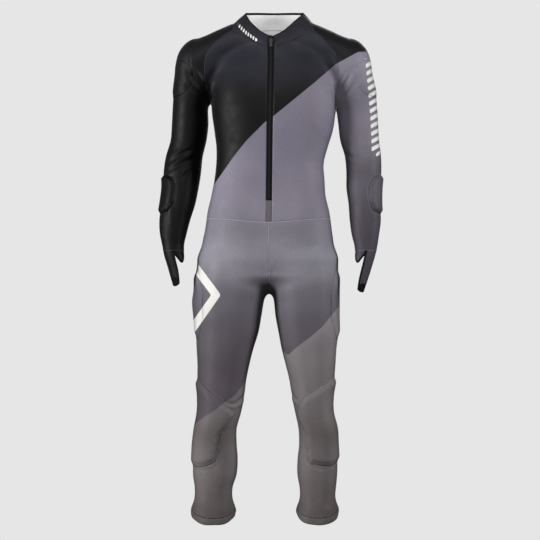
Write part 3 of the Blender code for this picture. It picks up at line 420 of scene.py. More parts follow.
def figure(p):
    """Signed distance of points from the surface that the cloth lies on."""
    t = TRUNK
    trunk = column_distance(
        p, t["z"], t["x"], t["half"], t["front"], t["back"], t["square"], TRUNK_CAPS
    )
    out = np.abs(p[:, 0] - CHEST_X)
    x = np.clip(out, 0, YOKE["x"].max())
    height = smooth(x, YOKE["x"], YOKE["half_height"])
    front = smooth(x, YOKE["x"], YOKE["front"])
    back = smooth(x, YOKE["x"], YOKE["back"])
    yoke = shaped(
        p[:, 2] - smooth(x, YOKE["x"], YOKE["top"]) + height,
        p[:, 1] - (back - front) / 2,
        height,
        (front + back) / 2,
        np.maximum(out - YOKE["x"].max(), 0),
        YOKE_CAP,
        2.0,
    )
    n = NECK
    neck = column_distance(
        p, n["z"], np.full(len(n["z"]), NECK_X), n["half"], n["front"], n["back"],
        2.0, (NECK_CAP, NECK_CAP),
    )
    body = joined(joined(trunk, yoke, SHOULDER_BLEND), neck, NECK_BLEND)
    legs = []
    for side in SIDES:
        a = ARMS
        arm = column_distance(
            p, a["z"], a[side + "_x"], a[side + "_half"],
            a["depth"] - a["y"], a["depth"] + a["y"], 2.0, ARM_CAPS,
        )
        body = joined(body, arm, smooth(p[:, 2], ARM_BLEND["z"], ARM_BLEND["width"]))
        g = LEGS
        legs.append(column_distance(
            p, g["z"], g[side + "_x"], g[side + "_half"],
            g["front"], g["back"], 2.1, LEG_CAPS,
        ))
    return joined(body, joined(legs[0], legs[1], BETWEEN_LEGS_BLEND), HIP_BLEND)


def slope_of(p):
    """The distance at each point, and the way in which it grows."""
    step = 1e-4
    here = figure(p)
    rise = [(figure(p + step * axis) - here) / step for axis in np.eye(3)]
    return here, np.stack(rise, axis=1)


def onto_figure(p, rounds=8, longest=0.02):
    """Moves points onto the figure's surface, each the short way."""
    shape = np.shape(p)
    p = np.array(p, float).reshape(-1, 3)
    for _ in range(rounds):
        here, rise = slope_of(p)
        size = (rise**2).sum(axis=1)
        move = -here / np.maximum(size, 0.2)
        step = move[:, None] * rise
        length = np.linalg.norm(step, axis=1, keepdims=True)
        p = p + step * np.minimum(1, longest / np.maximum(length, 1e-9))
    return p.reshape(shape)


def from_afar(p, way, rounds=60):
    """Moves points along one way until they meet the figure."""
    p, way = np.array(p, float), np.array(way, float)
    for _ in range(rounds):
        p = p + 0.7 * figure(p.reshape(-1, 3)).reshape(p.shape[:-1] + (1,)) * way
    return p


def relaxed(grid, rounds=12):
    """Evens out the points inside a grid, keeping them on the figure."""
    grid = onto_figure(grid)
    for _ in range(rounds):
        for _ in range(3):
            ends = grid[:-2, 1:-1] + grid[2:, 1:-1] + grid[1:-1, :-2] + grid[1:-1, 2:]
            grid[1:-1, 1:-1] = grid[1:-1, 1:-1] * 0.3 + ends * 0.175
        grid[1:-1, 1:-1] = onto_figure(grid[1:-1, 1:-1], rounds=1)
    grid[1:-1, 1:-1] = onto_figure(grid[1:-1, 1:-1], rounds=4)
    return grid


def outward(p):
    """Unit vectors out of the figure."""
    shape = np.shape(p)
    rise = slope_of(np.reshape(p, (-1, 3)))[1]
    return (rise / np.linalg.norm(rise, axis=1, keepdims=True)).reshape(shape)


def through(points, cells):
    """A smooth row of points through a few given ones, at even steps between them."""
    points = np.array(points, float)
    knots = np.arange(len(points), dtype=float)
    at = np.linspace(0, len(points) - 1, cells + 1)
    return np.stack([smooth(at, knots, points[:, k]) for k in range(3)], axis=1)


def arc(start, end, middle, outer, face, cells):
    """Points from start to end, turning about a middle. outer is the way to the side
    of the body, and face is -1 for an arc that runs over the front and 1 for the back."""
    outer = np.array(outer, float) / np.linalg.norm(outer)
    depth = np.array([0.0, 1.0, 0.0])
    along = np.cross(outer, depth)
    rows = []
    for p in (start, end):
        d = np.array(p, float) - middle
        turned = math.atan2(abs(d @ depth), d @ outer)
        rows.append((turned, math.hypot(d @ outer, d @ depth), d @ along))
    t = np.linspace(0, 1, cells + 1)[:, None]
    turned, far, off = (np.array(rows[0]) * (1 - t) + np.array(rows[1]) * t).T
    points = (
        middle
        + (far * np.cos(turned))[:, None] * outer
        + (far * np.sin(turned) * face)[:, None] * depth
        + off[:, None] * along
    )
    return points


def zip_x(z):
    return smooth(z, ZIP_LINE["z"], ZIP_LINE["x"])


def trunk_middle(z):
    """The middle of the trunk's section at a height."""
    front = smooth(z, TRUNK["z"], TRUNK["front"])
    back = smooth(z, TRUNK["z"], TRUNK["back"])
    return np.array([float(smooth(z, TRUNK["z"], TRUNK["x"])), float(back - front) / 2, z])


def arm_middle(side, z):
    x = smooth(z, ARMS["z"], ARMS[side + "_x"])
    return np.array([float(x), float(smooth(z, ARMS["z"], ARMS["y"])), z])


def leg_middle(side, z):
    front = smooth(z, LEGS["z"], LEGS["front"])
    back = smooth(z, LEGS["z"], LEGS["back"])
    x = smooth(z, LEGS["z"], LEGS[side + "_x"])
    return np.array([float(x), float(back - front) / 2, z])


@functools.lru_cache(maxsize=None)
def raglan_seam(side, face):
    """The seam between a sleeve and the front (face -1) or the back (face 1)."""
    heights = RAGLAN["front_z"] if face < 0 else RAGLAN["back_z"]
    x = RAGLAN[side + "_x"]
    points = through(np.stack([x, 0 * x + 0.3 * face, heights], axis=1), RAGLAN_ROWS)
    points = from_afar(points, (0, -face, 0))
    points[-1] = onto_figure([[x[-1], ARMPIT_Y, heights[-1]]])[0]
    points[-2] = onto_figure([points[-2] * 0.65 + points[-1] * 0.35])[0]
    return points


@functools.lru_cache(maxsize=None)
def side_seam(side):
    """From the armpit down the trunk's side to the waist seam."""
    armpit = raglan_seam(side, -1)[-1]
    heights = np.linspace(armpit[2], WAIST_SEAM_Z, BODY_ROWS + 1)
    points = []
    for z in heights:
        middle = trunk_middle(z)
        half = float(smooth(z, TRUNK["z"], TRUNK["half"]))
        points.append(middle + np.array([SIDES[side] * half, 0, 0]))
    points[0] = armpit
    return onto_figure(points)


@functools.lru_cache(maxsize=None)
def zip_edge(side):
    """The edge of a front panel along the zip, from the collar to the waist seam."""
    armpit = raglan_seam(side, -1)[-1]
    upper = np.linspace(COLLAR_FRONT_Z, armpit[2] - 0.004, RAGLAN_ROWS + 1)
    lower = np.linspace(armpit[2] - 0.004, WAIST_SEAM_Z, BODY_ROWS + 1)
    heights = np.concatenate([upper, lower[1:]])
    points = [
        (zip_x(z) + SIDES[side] * ZIP_HALF, -smooth(z, TRUNK["z"], TRUNK["front"]), z)
        for z in heights
    ]
    return onto_figure(points)


def settled(points):
    """Points with the front's seams let down in the middle, on the figure again."""
    points = np.array(points, float)
    facing = np.clip(-points[..., 1] / 0.030, 0, 1)
    for k in range(len(SETTLED["x"])):
        x, z, drop, half_width, height = (SETTLED[name][k] for name in SETTLED)
        near = np.clip(1 - np.abs(points[..., 0] - x) / half_width, 0, 1)
        near = near * near * (3 - 2 * near)
        level = np.exp(-((points[..., 2] - z) / height) ** 2)
        points[..., 2] -= drop * near * level * facing
    return onto_figure(points)


@functools.lru_cache(maxsize=None)
def front_panel(side):
    seam = np.concatenate([raglan_seam(side, -1), side_seam(side)[1:]])
    rows = []
    for inner, outer in zip(zip_edge(side), seam):
        middle = trunk_middle((inner[2] + outer[2]) / 2)
        rows.append(arc(inner, outer, middle, (SIDES[side], 0, 0), -1, FRONT_COLUMNS))
    return settled(relaxed(rows))


def back_half(side):
    """Rows from the side to the middle of the back."""
    seam = np.concatenate([raglan_seam(side, 1), side_seam(side)[1:]])
    top = 0.006
    heights = np.concatenate([
        np.linspace(top, seam[RAGLAN_ROWS][2], RAGLAN_ROWS + 1),
        seam[RAGLAN_ROWS + 1:, 2],
    ])
    rows = []
    for z, outer in zip(heights, seam):
        middle = trunk_middle((z + outer[2]) / 2)
        spine = (middle[0], smooth(z, TRUNK["z"], TRUNK["back"]), z)
        row = arc(outer, spine, middle, (SIDES[side], 0, 0), 1, HALF_BACK_COLUMNS)
        t = np.linspace(0, 1, len(row))
        row[:, 2] = outer[2] + (z - outer[2]) * np.sin(t * math.pi / 2)
        rows.append(row)
    return onto_figure(rows)


@functools.lru_cache(maxsize=None)
def back_panel():
    right, left = back_half("right"), back_half("left")
    left[:, -1] = right[:, -1] = (left[:, -1] + right[:, -1]) / 2
    return relaxed(np.concatenate([right, left[:, -2::-1]], axis=1))


@functools.lru_cache(maxsize=None)
def underarm_line(side):
    """From the armpit down the inside of the arm to the cuff."""
    armpit = raglan_seam(side, -1)[-1]
    heights = np.linspace(armpit[2], CUFF_Z, ARM_ROWS + 1)
    points = []
    for z in heights:
        middle = arm_middle(side, z)
        half = float(smooth(z, ARMS["z"], ARMS[side + "_half"]))
        points.append(middle - np.array([SIDES[side] * half, 0, 0]))
    points[0] = armpit
    points[1] = (points[0] + points[2]) / 2
    return onto_figure(points)


@functools.lru_cache(maxsize=None)
def outer_arm_line(side):
    """From the collar over the shoulder and down the outside of the arm."""
    s = SIDES[side]
    ridge = np.stack([
        CHEST_X + s * RAGLAN["ridge_x"],
        np.full(len(RAGLAN["ridge_z"]), ARMPIT_Y),
        RAGLAN["ridge_z"],
    ], axis=1)
    upper = onto_figure(through(ridge, RAGLAN_ROWS))
    heights = np.linspace(upper[-1][2], CUFF_Z, ARM_ROWS + 1)[1:]
    points = []
    for z in heights:
        half = float(smooth(z, ARMS["z"], ARMS[side + "_half"]))
        points.append(arm_middle(side, z) + np.array([s * half, 0, 0]))
    return np.concatenate([upper, onto_figure(points)])


@functools.lru_cache(maxsize=None)
def sleeve_rows(side):
    """The sleeve from the collar to the cuff, opened along the underarm."""
    under = underarm_line(side)[1:]
    front = np.concatenate([raglan_seam(side, -1), under])
    back = np.concatenate([raglan_seam(side, 1), under])
    rows = []
    for i, ridge in enumerate(outer_arm_line(side)):
        inner = (front[i] + back[i]) / 2
        if i == 0:
            middle = ridge - np.array([0, 0, 0.045])
            outer = (0, 0, 1)
        else:
            share = min(0.5, 0.22 + 0.05 * i)
            middle = inner + (ridge - inner) * share
            outer = ridge - middle
        middle[1] = arm_middle(side, middle[2])[1]
        outer = (outer[0], 0, outer[2])
        over_front = arc(front[i], ridge, middle, outer, -1, HALF_SLEEVE_COLUMNS)
        over_back = arc(ridge, back[i], middle, outer, 1, HALF_SLEEVE_COLUMNS)
        rows.append(np.concatenate([over_front, over_back[1:]]))
    return relaxed(rows, SLEEVE_ROUNDS)


@functools.lru_cache(maxsize=None)
def crotch_line(face):
    """The middle seam from the waist seam to the crotch point."""
    word = "front" if face < 0 else "back"
    points = np.stack([
        np.linspace(float(zip_x(WAIST_SEAM_Z)), CROTCH[0], len(CROTCH_SEAM["front"])),
        CROTCH_SEAM[word],
        CROTCH_SEAM[word + "_z"],
    ], axis=1)
    return onto_figure(through(points, HIP_ROWS))


@functools.lru_cache(maxsize=None)
def inseam(side):
    """From the crotch point down the inside of the leg to the hem."""
    start = crotch_line(-1)[-1]
    heights = np.linspace(start[2], HEM_BAND_Z, LEG_ROWS + 1)
    points = []
    for z in heights:
        half = float(smooth(z, LEGS["z"], LEGS[side + "_half"]))
        points.append(leg_middle(side, z) - np.array([SIDES[side] * half, 0, 0]))
    points[0] = start
    points = onto_figure(points)
    points[0] = start
    return points


@functools.lru_cache(maxsize=None)
def outseam(side):
    """From the waist seam down the outside of the leg to the hem."""
    knots = np.arange(len(CROTCH_SEAM["outseam_z"]), dtype=float)
    at = np.linspace(0, knots[-1], HIP_ROWS + 1)
    upper = smooth(at, knots, CROTCH_SEAM["outseam_z"])
    heights = np.concatenate([upper, np.linspace(upper[-1], HEM_BAND_Z, LEG_ROWS + 1)[1:]])
    points = []
    for z in heights:
        hip = trunk_middle(max(z, -0.62))
        half = float(smooth(z, TRUNK["z"], TRUNK["half"]))
        hip = np.array([hip[0] + SIDES[side] * half, hip[1], z])
        leg_half = float(smooth(z, LEGS["z"], LEGS[side + "_half"]))
        leg = leg_middle(side, z) + np.array([SIDES[side] * leg_half, 0, 0])
        points.append(hip if z > -0.60 else leg)
    points = onto_figure(points)
    points[0] = side_seam(side)[-1]
    return points


def hem_drop(points, middles):
    """How much lower each point lies, where the rows tip towards the hem's plane."""
    points, middles = np.array(points, float), np.array(middles, float)
    share = (HEM_SLOPE_START_Z - middles[:, 2]) / (HEM_SLOPE_START_Z - HEM_Z)
    share = np.clip(share, 0, 1) ** 2
    return HEM_SLOPE * share * (points[:, 1] - middles[:, 1])


@functools.lru_cache(maxsize=None)
def leg_panel(side, face):
    """The front (face -1) or the back (face 1) of a leg."""
    s = SIDES[side]
    inner = np.concatenate([crotch_line(face), inseam(side)[1:]])
    outer = outseam(side)
    rows = []
    for i, (a, b) in enumerate(zip(inner, outer)):
        z = (a[2] + b[2]) / 2
        share = min(1.0, i / HIP_ROWS)
        leg = leg_middle(side, min(z, -0.62))
        middle = trunk_middle(max(z, -0.62)) * (1 - share) + leg * share
        middle[2] = z
        row = arc(a, b, middle, (s, 0, 0), face, LEG_COLUMNS)
        row[:, 2] += hem_drop(row, np.tile(middle, (len(row), 1)))
        rows.append(row)
    return settled(relaxed(rows)) if face < 0 else relaxed(rows)


@functools.lru_cache(maxsize=None)
def hem_band(side):
    """A ring below a leg's last rows, down to the hem."""
    rows = []
    last = np.concatenate([leg_panel(side, -1)[-1], leg_panel(side, 1)[-1][-2::-1]])
    for share in np.linspace(0, 1, HEM_ROWS + 1):
        row = last.copy()
        row[:, 2] += (HEM_Z - HEM_BAND_Z) * share
        rows.append(row)
    rows = onto_figure(rows)
    rows[0] = last
    return rows


@functools.lru_cache(maxsize=None)
def collar_grid():
    """From the neck's seam up to the collar's edge, from one side of the zip to the
    other. Its lowest row has the points of the panels that it is sewn to."""
    right = [front_panel("right")[0], sleeve_rows("right")[0], back_panel()[0]]
    left = [sleeve_rows("left")[0][::-1], front_panel("left")[0][::-1]]
    base = np.concatenate([right[0]] + [row[1:] for row in right[1:] + left])
    behind = np.clip((base[:, 1] + 0.060) / 0.080, 0, 1)
    middle_x = NECK_FRONT_X + (NECK_X - NECK_FRONT_X) * behind
    off = base - np.array([0, COLLAR_MIDDLE_Y, 0])
    off[:, 0] -= middle_x
    turned = np.degrees(np.arctan2(np.abs(off[:, 0]), -off[:, 1]))
    way = np.sign(off[:, 0])
    edge = np.stack([
        middle_x + way * smooth(turned, COLLAR["angle"], COLLAR["x"]),
        smooth(turned, COLLAR["angle"], COLLAR["y"]),
        smooth(turned, COLLAR["angle"], COLLAR["z"]),
    ], axis=1)
    rows = []
    for share in COLLAR_SHARES:
        row = base * (1 - share) + edge * share
        swell = COLLAR_SWELL * math.sin(share * math.pi)
        flat = off * np.array([1, 1, 0])
        row = row + swell * flat / np.linalg.norm(flat, axis=1, keepdims=True)
        rows.append(row)
    return np.array(rows)


def fold_depth(p):
    """How far the folds press the cloth in at each point."""
    total = np.zeros(p.shape[:-1])
    for k in range(len(FOLDS["x1"])):
        x1, z1, x2, z2, depth, width, face = (FOLDS[name][k] for name in FOLDS)
        way = np.array([x2 - x1, z2 - z1])
        length = math.hypot(*way)
        way = way / length
        off = p[..., (0, 2)] - np.array([x1, z1])
        along = np.clip(off @ way / length, -0.5, 1.5)
        across = (off @ np.array([-way[1], way[0]])) / width
        over = np.maximum(np.abs(along - 0.5) - 0.35, 0) / 0.18
        on_face = 1 / (1 + np.exp(-(p[..., 1] * face + 0.012) / 0.004))
        total += depth * np.exp(-across**2 - over**2) * on_face
    return total


def grid_outward(grid, centre):
    """Unit vectors across a grid that isn't on the figure, away from its centre."""
    down = np.gradient(grid, axis=0)
    along = np.gradient(grid, axis=1)
    across = np.cross(down, along)
    across /= np.maximum(np.linalg.norm(across, axis=-1, keepdims=True), 1e-12)
    side = ((grid - centre) * across).sum(axis=-1).mean()
    return across * (1 if side > 0 else -1)


def zip_grid(first, last):
    """The strip between the two fronts, through some of their rows."""
    right, left = zip_edge("right")[first:last + 1], zip_edge("left")[first:last + 1]
    middle = onto_figure((right + left) / 2)
    return settled(np.stack([right, middle, left], axis=1))


def tongue_grid(side):
    """The pointed end of a sleeve, which goes over the back of the hand."""
    last = sleeve_rows(side)[-1]
    first, end = TONGUE_COLUMNS
    rows = [last[first:end + 1]]
    for share in np.linspace(0, 1, TONGUE_ROWS + 1)[1:]:
        angles = np.radians(np.linspace(
            float(smooth(share, TONGUE["share"], TONGUE["front_angle"])),
            float(smooth(share, TONGUE["share"], TONGUE["back_angle"])),
            end - first + 1,
        ))
        x = float(smooth(share, TONGUE["share"], TONGUE[side + "_x"]))
        z = float(smooth(share, TONGUE["share"], TONGUE[side + "_z"]))
        tip = TONGUE_TIP * share**3 * (1 - np.linspace(-1, 1, len(angles)) ** 2)
        rows.append(np.stack([
            x + SIDES[side] * TONGUE_RADIUS * np.cos(angles),
            TONGUE_Y - TONGUE_RADIUS * np.sin(angles),
            z - tip,
        ], axis=1))
    return np.array(rows)


def flap_grid(side):
    """A small flap below the cuff, on the thumb's other side from the tongue."""
    first, end = FLAP_COLUMNS
    last = sleeve_rows(side)[-1, first:end + 1]
    middle = last.mean(axis=0)
    rows = []
    for share in np.linspace(0, 1, FLAP_ROWS + 1):
        row = middle + (last - middle) * (1 - FLAP_NARROWING * share**1.5)
        bend = 1 - np.linspace(-1, 1, len(row)) ** 2
        row[:, 2] -= FLAP_DROP * share * (0.75 + 0.25 * bend)
        row[:, 0] -= SIDES[side] * FLAP_SPREAD * share
        rows.append(row)
    return np.array(rows)


def limb_points(side, middle, heights, angles):
    """Points on a limb at given heights and angles: 0 is the outer side and 90 the
    front."""
    turn = np.radians(angles)
    way = np.stack([SIDES[side] * np.cos(turn), -np.sin(turn), 0 * turn], axis=-1)
    start = np.array([[middle(side, z) for z in row] for row in heights])
    reach = np.full(heights.shape + (1,), 0.03)
    for _ in range(25):
        at = (start + reach * way).reshape(-1, 3)
        reach = reach - figure(at).reshape(reach.shape)
    return start + reach * way


def pad_grid(name, side):
    """A pad's points on the figure: a column for each angle, from its top down."""
    pad = PADS.get(name) or PADS[name + "_" + side]
    rows, columns = PAD_CELLS[name]
    angles = np.linspace(pad["angle"][0], pad["angle"][-1], columns + 1)
    top = smooth(angles, pad["angle"], pad["top"])
    bottom = smooth(angles, pad["angle"], pad["bottom"])
    share = np.linspace(0, 1, rows + 1)[:, None]
    heights = top * (1 - share) + bottom * share
    middle = leg_middle if name in ("knee", "thigh") else arm_middle
    return limb_points(side, middle, heights, np.tile(angles, (rows + 1, 1)))


def pad_profile(rows, columns):
    """How high a pad is at each point, as a share: low at its edges."""
    r = np.minimum(np.arange(rows), np.arange(rows)[::-1])[:, None]
    c = np.minimum(np.arange(columns), np.arange(columns)[::-1])[None, :]
    return np.where(np.minimum(r, c) == 0, 0.25, np.where(np.minimum(r, c) == 1, 0.9, 1.0))

# %% [markdown]
# The model's rows are a few centimetres apart. A smooth curve through them gives rows
# a few millimetres apart, which are laid on the figure again.

# %% Finer rows
def finer(grid, rows=FINER, columns=FINER):
    """Puts smooth rows and columns between a grid's own."""
    for axis, n in ((0, rows), (1, columns)):
        old = np.moveaxis(np.array(grid, float), axis, 0)
        slopes = np.gradient(old, axis=0)
        at = np.linspace(0, len(old) - 1, (len(old) - 1) * n + 1)
        k = np.minimum(at.astype(int), len(old) - 2)
        t = (at - k)[:, None, None]
        made = (2 * t**3 - 3 * t**2 + 1) * old[k] + (3 * t**2 - 2 * t**3) * old[k + 1]
        made += (t**3 - 2 * t**2 + t) * slopes[k] + (t**3 - t**2) * slopes[k + 1]
        grid = np.moveaxis(made, 0, axis)
    return grid


def fine_panel(grid):
    return onto_figure(finer(grid), rounds=3)


# %% [markdown]
# Folds, grooves and the print's borders have their places in the front view, counted in
# its steps. What is seen from the front through the long lens is worked out for every
# point of the cloth. A fold is a trough with a softer ridge on one side of it.

# %% Places in the front view
def view_place(p):
    """The column and row of points in the front view."""
    scale = DISTANCE / (DISTANCE + p[..., 1])
    column = MIDDLE_COLUMN + p[..., 0] * scale / STEP
    row = MIDDLE_ROW - (p[..., 2] - EYE_Z) * scale / STEP
    return np.stack([column, row], axis=-1)


def rounded(points, parts=5):
    """A smooth line through a few places."""
    points = np.array(points, float)
    if len(points) < 3:
        return points
    knots = np.arange(len(points), dtype=float)
    at = np.linspace(0, len(points) - 1, (len(points) - 1) * parts + 1)
    return np.stack([smooth(at, knots, points[:, k]) for k in (0, 1)], axis=1)


def line_distance(places, points):
    """How far each place is from a line, with a sign for its side, and how far along
    the line the nearest point is."""
    lengths = np.linalg.norm(np.diff(points, axis=0), axis=1)
    before = np.concatenate([[0], np.cumsum(lengths)])
    far = np.full(places.shape[:-1], 1e9)
    sign, share = np.ones_like(far), np.zeros_like(far)
    for k, length in enumerate(lengths):
        way = (points[k + 1] - points[k]) / length
        off = places - points[k]
        along = np.clip(off @ way, 0, length)
        here = np.linalg.norm(off - along[..., None] * way, axis=-1)
        nearer = here < far
        side = np.where(off[..., 0] * way[1] - off[..., 1] * way[0] < 0, -1, 1)
        far = np.where(nearer, here, far)
        sign = np.where(nearer, side, sign)
        share = np.where(nearer, (before[k] + along) / before[-1], share)
    return far * sign, share


# Each fold: places it runs through, depth in mm, width in steps, and how high its
# ridge is for its depth. Grooves beside pads have no ridge.
FRONT_FOLDS = [
    ([(184, 67), (193, 77), (206, 93)], 3.4, 2.2, 0.7),
    ([(183, 82), (194, 90), (207, 99)], 2.4, 1.9, 0.6),
    ([(181, 62), (190, 69), (200, 83)], 1.8, 1.6, 0.6),
    ([(339, 94), (346, 82), (354, 67)], 3.0, 2.1, -0.7),
    ([(342, 100), (349, 91), (356, 84)], 2.0, 1.7, -0.6),
    ([(337, 87), (343, 77), (349, 70)], 1.6, 1.5, -0.6),
    ([(168, 172), (182, 163), (198, 157)], 3.2, 2.1, 0.6),
    ([(168, 164), (180, 155), (192, 149)], 2.4, 1.8, 0.6),
    ([(180, 178), (189, 172), (196, 169)], 2.0, 1.6, 0.5),
    ([(166, 180), (175, 174), (184, 171)], 1.6, 1.5, 0.5),
    ([(345, 154), (352, 157), (361, 159)], 2.6, 2.2, 0.5),
    ([(347, 164), (354, 163), (361, 167)], 1.7, 1.8, 0.5),
    ([(167, 182), (165, 205), (169, 229)], 0.7, 2.4, 0.8),
    ([(176, 178), (174, 200), (177, 226)], 0.7, 2.4, 0.8),
    ([(371, 190), (372, 215), (369, 240)], 0.6, 2.2, 0.8),
    ([(360, 180), (358, 205), (362, 235)], 0.6, 2.6, 0.8),
    ([(191, 42), (189, 54), (191, 68)], 0.9, 1.0, 0.6),
    ([(357, 45), (353, 62), (354, 80)], 0.7, 1.0, -0.6),
    ([(373, 176), (368, 184), (366, 200), (368, 213), (379, 218)], 0.8, 0.8, 0.0),
    ([(160, 173), (168, 182), (170, 198), (166, 212), (158, 216)], 0.8, 0.8, 0.0),
    ([(267, 205), (263, 213), (261, 221)], 1.2, 1.3, 0.7),
    ([(273, 205), (275, 213), (277, 220)], 1.2, 1.3, -0.7),
    ([(280, 206), (284, 214), (287, 219)], 0.5, 1.4, -0.7),
    ([(262, 224), (281, 223), (300, 222)], 1.1, 1.0, 0.0),
    ([(226, 402), (233, 404.5), (239, 401.5), (245, 395)], 5.0, 1.3, -0.55),
    ([(300, 401.5), (294, 397.5), (289, 389)], 4.2, 1.2, 0.55),
            ([(193, 468), (203, 470), (213, 468), (220, 461), (224, 458)], 1.1, 1.0, 0.5),
    ([(305, 461), (313, 467), (323, 470), (334, 467)], 1.1, 1.0, -0.5),
    ([(303, 456), (308, 461), (313, 464)], 0.9, 1.2, 0.6),
    ([(219, 425), (230, 430), (236, 428)], 0.6, 1.6, 0.6),
    ([(229, 500), (231, 508), (230, 516)], 0.9, 1.3, 0.6),
    ([(304, 506), (306, 514), (311, 520)], 0.8, 1.4, 0.6),
    ([(262, 262), (266, 275), (268, 287)], 0.8, 2.0, 0.6),
    ([(277, 262), (272, 275), (270, 287)], 0.8, 2.0, -0.6),
]
BACK_FOLDS = [
    ([(198, 404), (218, 410), (238, 403)], 3.0, 2.2, 0.7),
    ([(203, 416), (220, 419), (236, 412)], 2.0, 1.9, 0.6),
    ([(208, 394), (222, 398), (240, 392)], 1.4, 1.8, 0.6),
    ([(298, 403), (316, 409), (332, 403)], 3.0, 2.2, 0.7),
    ([(301, 415), (317, 418), (331, 413)], 2.0, 1.9, 0.6),
    ([(296, 393), (312, 398), (328, 392)], 1.4, 1.8, 0.6),
    ([(170, 158), (184, 161), (197, 155)], 2.0, 2.0, 0.6),
    ([(170, 167), (182, 168), (194, 164)], 1.3, 1.8, 0.6),
    ([(350, 156), (362, 159), (376, 155)], 2.0, 2.0, 0.6),
    ([(352, 166), (362, 167), (374, 164)], 1.3, 1.8, 0.6),
    ([(206, 94), (197, 80), (186, 70)], 2.6, 2.1, 0.6),
    ([(207, 101), (197, 92), (186, 86)], 1.8, 1.8, 0.6),
    ([(339, 94), (349, 80), (360, 70)], 2.6, 2.1, 0.6),
    ([(340, 101), (350, 92), (360, 86)], 1.8, 1.8, 0.6),
    ([(236, 191), (268, 195), (301, 190)], 1.4, 2.8, 0.5),
    ([(241, 203), (268, 206), (296, 202)], 1.2, 2.6, 0.5),
    ([(206, 296), (226, 304), (254, 298)], 2.2, 2.8, 0.5),
    ([(286, 298), (310, 304), (334, 296)], 2.2, 2.8, 0.5),
    ([(240, 262), (256, 272), (267, 281)], 1.5, 2.4, 0.5),
    ([(298, 262), (283, 272), (271, 281)], 1.5, 2.4, 0.5),
    ([(196, 466), (214, 470), (232, 465)], 0.9, 1.4, 0.5),
    ([(300, 466), (316, 470), (334, 465)], 0.9, 1.4, 0.5),
]


def relief(p, out):
    """How far the cloth stands out of the figure, from the tables of folds."""
    places = view_place(p)
    total = np.zeros(p.shape[:-1])
    for face, folds in ((-1, FRONT_FOLDS), (1, BACK_FOLDS)):
        facing = np.clip((out[..., 1] * face + 0.15) / 0.45, 0, 1)
        for points, depth, width, ridge in folds:
            far, share = line_distance(places, rounded(points))
            taper = np.sin(np.clip(share, 0.04, 0.96) * math.pi) ** 0.6
            trough = np.exp(-(far / width) ** 2)
            beside = np.exp(-((far - 1.9 * width * np.sign(ridge)) / (1.2 * width)) ** 2)
            lift = abs(ridge) * beside - trough if ridge else -trough
            total += facing * taper * lift * depth / 1000
    return total


print(len(FRONT_FOLDS) + len(BACK_FOLDS), "folds")

# %% [markdown]
# The print: black above a line that falls across the chest, grey below it, and a
# browner grey below another line on each leg. Each point of a panel keeps its distance
# from that line, so that the material can draw a sharp border between two colours. The
# colours by row carry painted light as well as print: the black has a painted sheen near
# the neck, and the grey darkens down the thighs and the left sleeve, partly the print's
# gradient and partly painted shade. Plain white bars take the places of lettering.

# %% The print's borders, and its tones with painted light
CHEST_LINE = [(400, 50), (367, 51.5), (358, 52), (336, 64), (314, 83), (271, 118),
              (265, 122), (246, 141), (233, 157.5), (218, 179), (196, 209)]
RIGHT_LEG_LINE = [(180, 432), (195, 424), (205.5, 416), (214, 411), (225, 402),
                  (235, 395), (243, 385), (254, 368)]
LEFT_LEG_LINE = [(356, 290), (337, 309), (331, 316), (323, 326), (313, 335), (297, 347),
                 (288, 355), (283, 351), (276, 342)]
# Each white mark: its line, half its width, and the length of a dash, or 0 for none.
HIP_MARK = ([(190, 260), (216, 295), (190, 332)], 4.0, 0)
SLEEVE_MARK = ([(369.5, 60), (372, 88), (374.5, 118), (376, 152)], 4.2, 4.0)
COLLAR_MARK = ([(238.5, 25), (246.5, 33), (256, 39.8)], 1.5, 1.6)

# The black print's colour by row, with a painted sheen: much lighter at the collar and the tops
# of the shoulders, where light catches the satin, and near black further down.
BLACK_PRINT_WITH_PAINTED_SHEEN = table("row red green blue", [
    (20, 0.0175, 0.0167, 0.0226),
    (65, 0.0150, 0.0150, 0.0219),
    (95, 0.0013, 0.0013, 0.0018),
    (130, 0.0004, 0.0004, 0.0004),
    (300, 0.0004, 0.0004, 0.0004),
])
BLACK_SLEEVE_PRINT_WITH_PAINTED_SHEEN = table("row red green blue", [
    (20, 0.0064, 0.0061, 0.0084),
    (60, 0.0049, 0.0047, 0.0059),
    (95, 0.0009, 0.0008, 0.0009),
    (300, 0.0013, 0.0013, 0.0014),
])
# The grey print's colour by row, with painted light on it: lighter across the hips and darker
# down the thighs, partly the print's own gradient and partly painted shade from light falling
# from above.
GREY_PRINT_WITH_PAINTED_SHADE = table("row red green blue", [
    (40, 0.1653, 0.1522, 0.1870),
    (130, 0.1524, 0.1376, 0.1767),
    (150, 0.1545, 0.1406, 0.1799),
    (180, 0.1666, 0.1508, 0.1912),
    (215, 0.1646, 0.1513, 0.1869),
    (232, 0.1560, 0.1478, 0.1778),
    (250, 0.1892, 0.1808, 0.2126),
    (262, 0.1867, 0.1790, 0.2109),
    (275, 0.1615, 0.1510, 0.1777),
    (290, 0.1071, 0.0986, 0.1182),
    (305, 0.0974, 0.0883, 0.1083),
    (320, 0.0860, 0.0759, 0.0916),
    (345, 0.0798, 0.0693, 0.0826),
    (365, 0.0722, 0.0608, 0.0731),
    (385, 0.0693, 0.0579, 0.0703),
    (410, 0.0655, 0.0551, 0.0655),
])
# The grey of the left sleeve by row: darker below the elbow, partly the print and partly painted
# shade.
SLEEVE_PRINT_WITH_PAINTED_SHADE = table("row red green blue", [
    (50, 0.1890, 0.1764, 0.2178),
    (75, 0.1796, 0.1673, 0.2050),
    (98, 0.1336, 0.1224, 0.1526),
    (125, 0.1637, 0.1479, 0.1851),
    (150, 0.1218, 0.1114, 0.1348),
    (170, 0.0692, 0.0608, 0.0760),
    (190, 0.0792, 0.0711, 0.0882),
    (212, 0.0577, 0.0496, 0.0634),
    (235, 0.0527, 0.0450, 0.0587),
    (290, 0.0510, 0.0442, 0.0536),
])
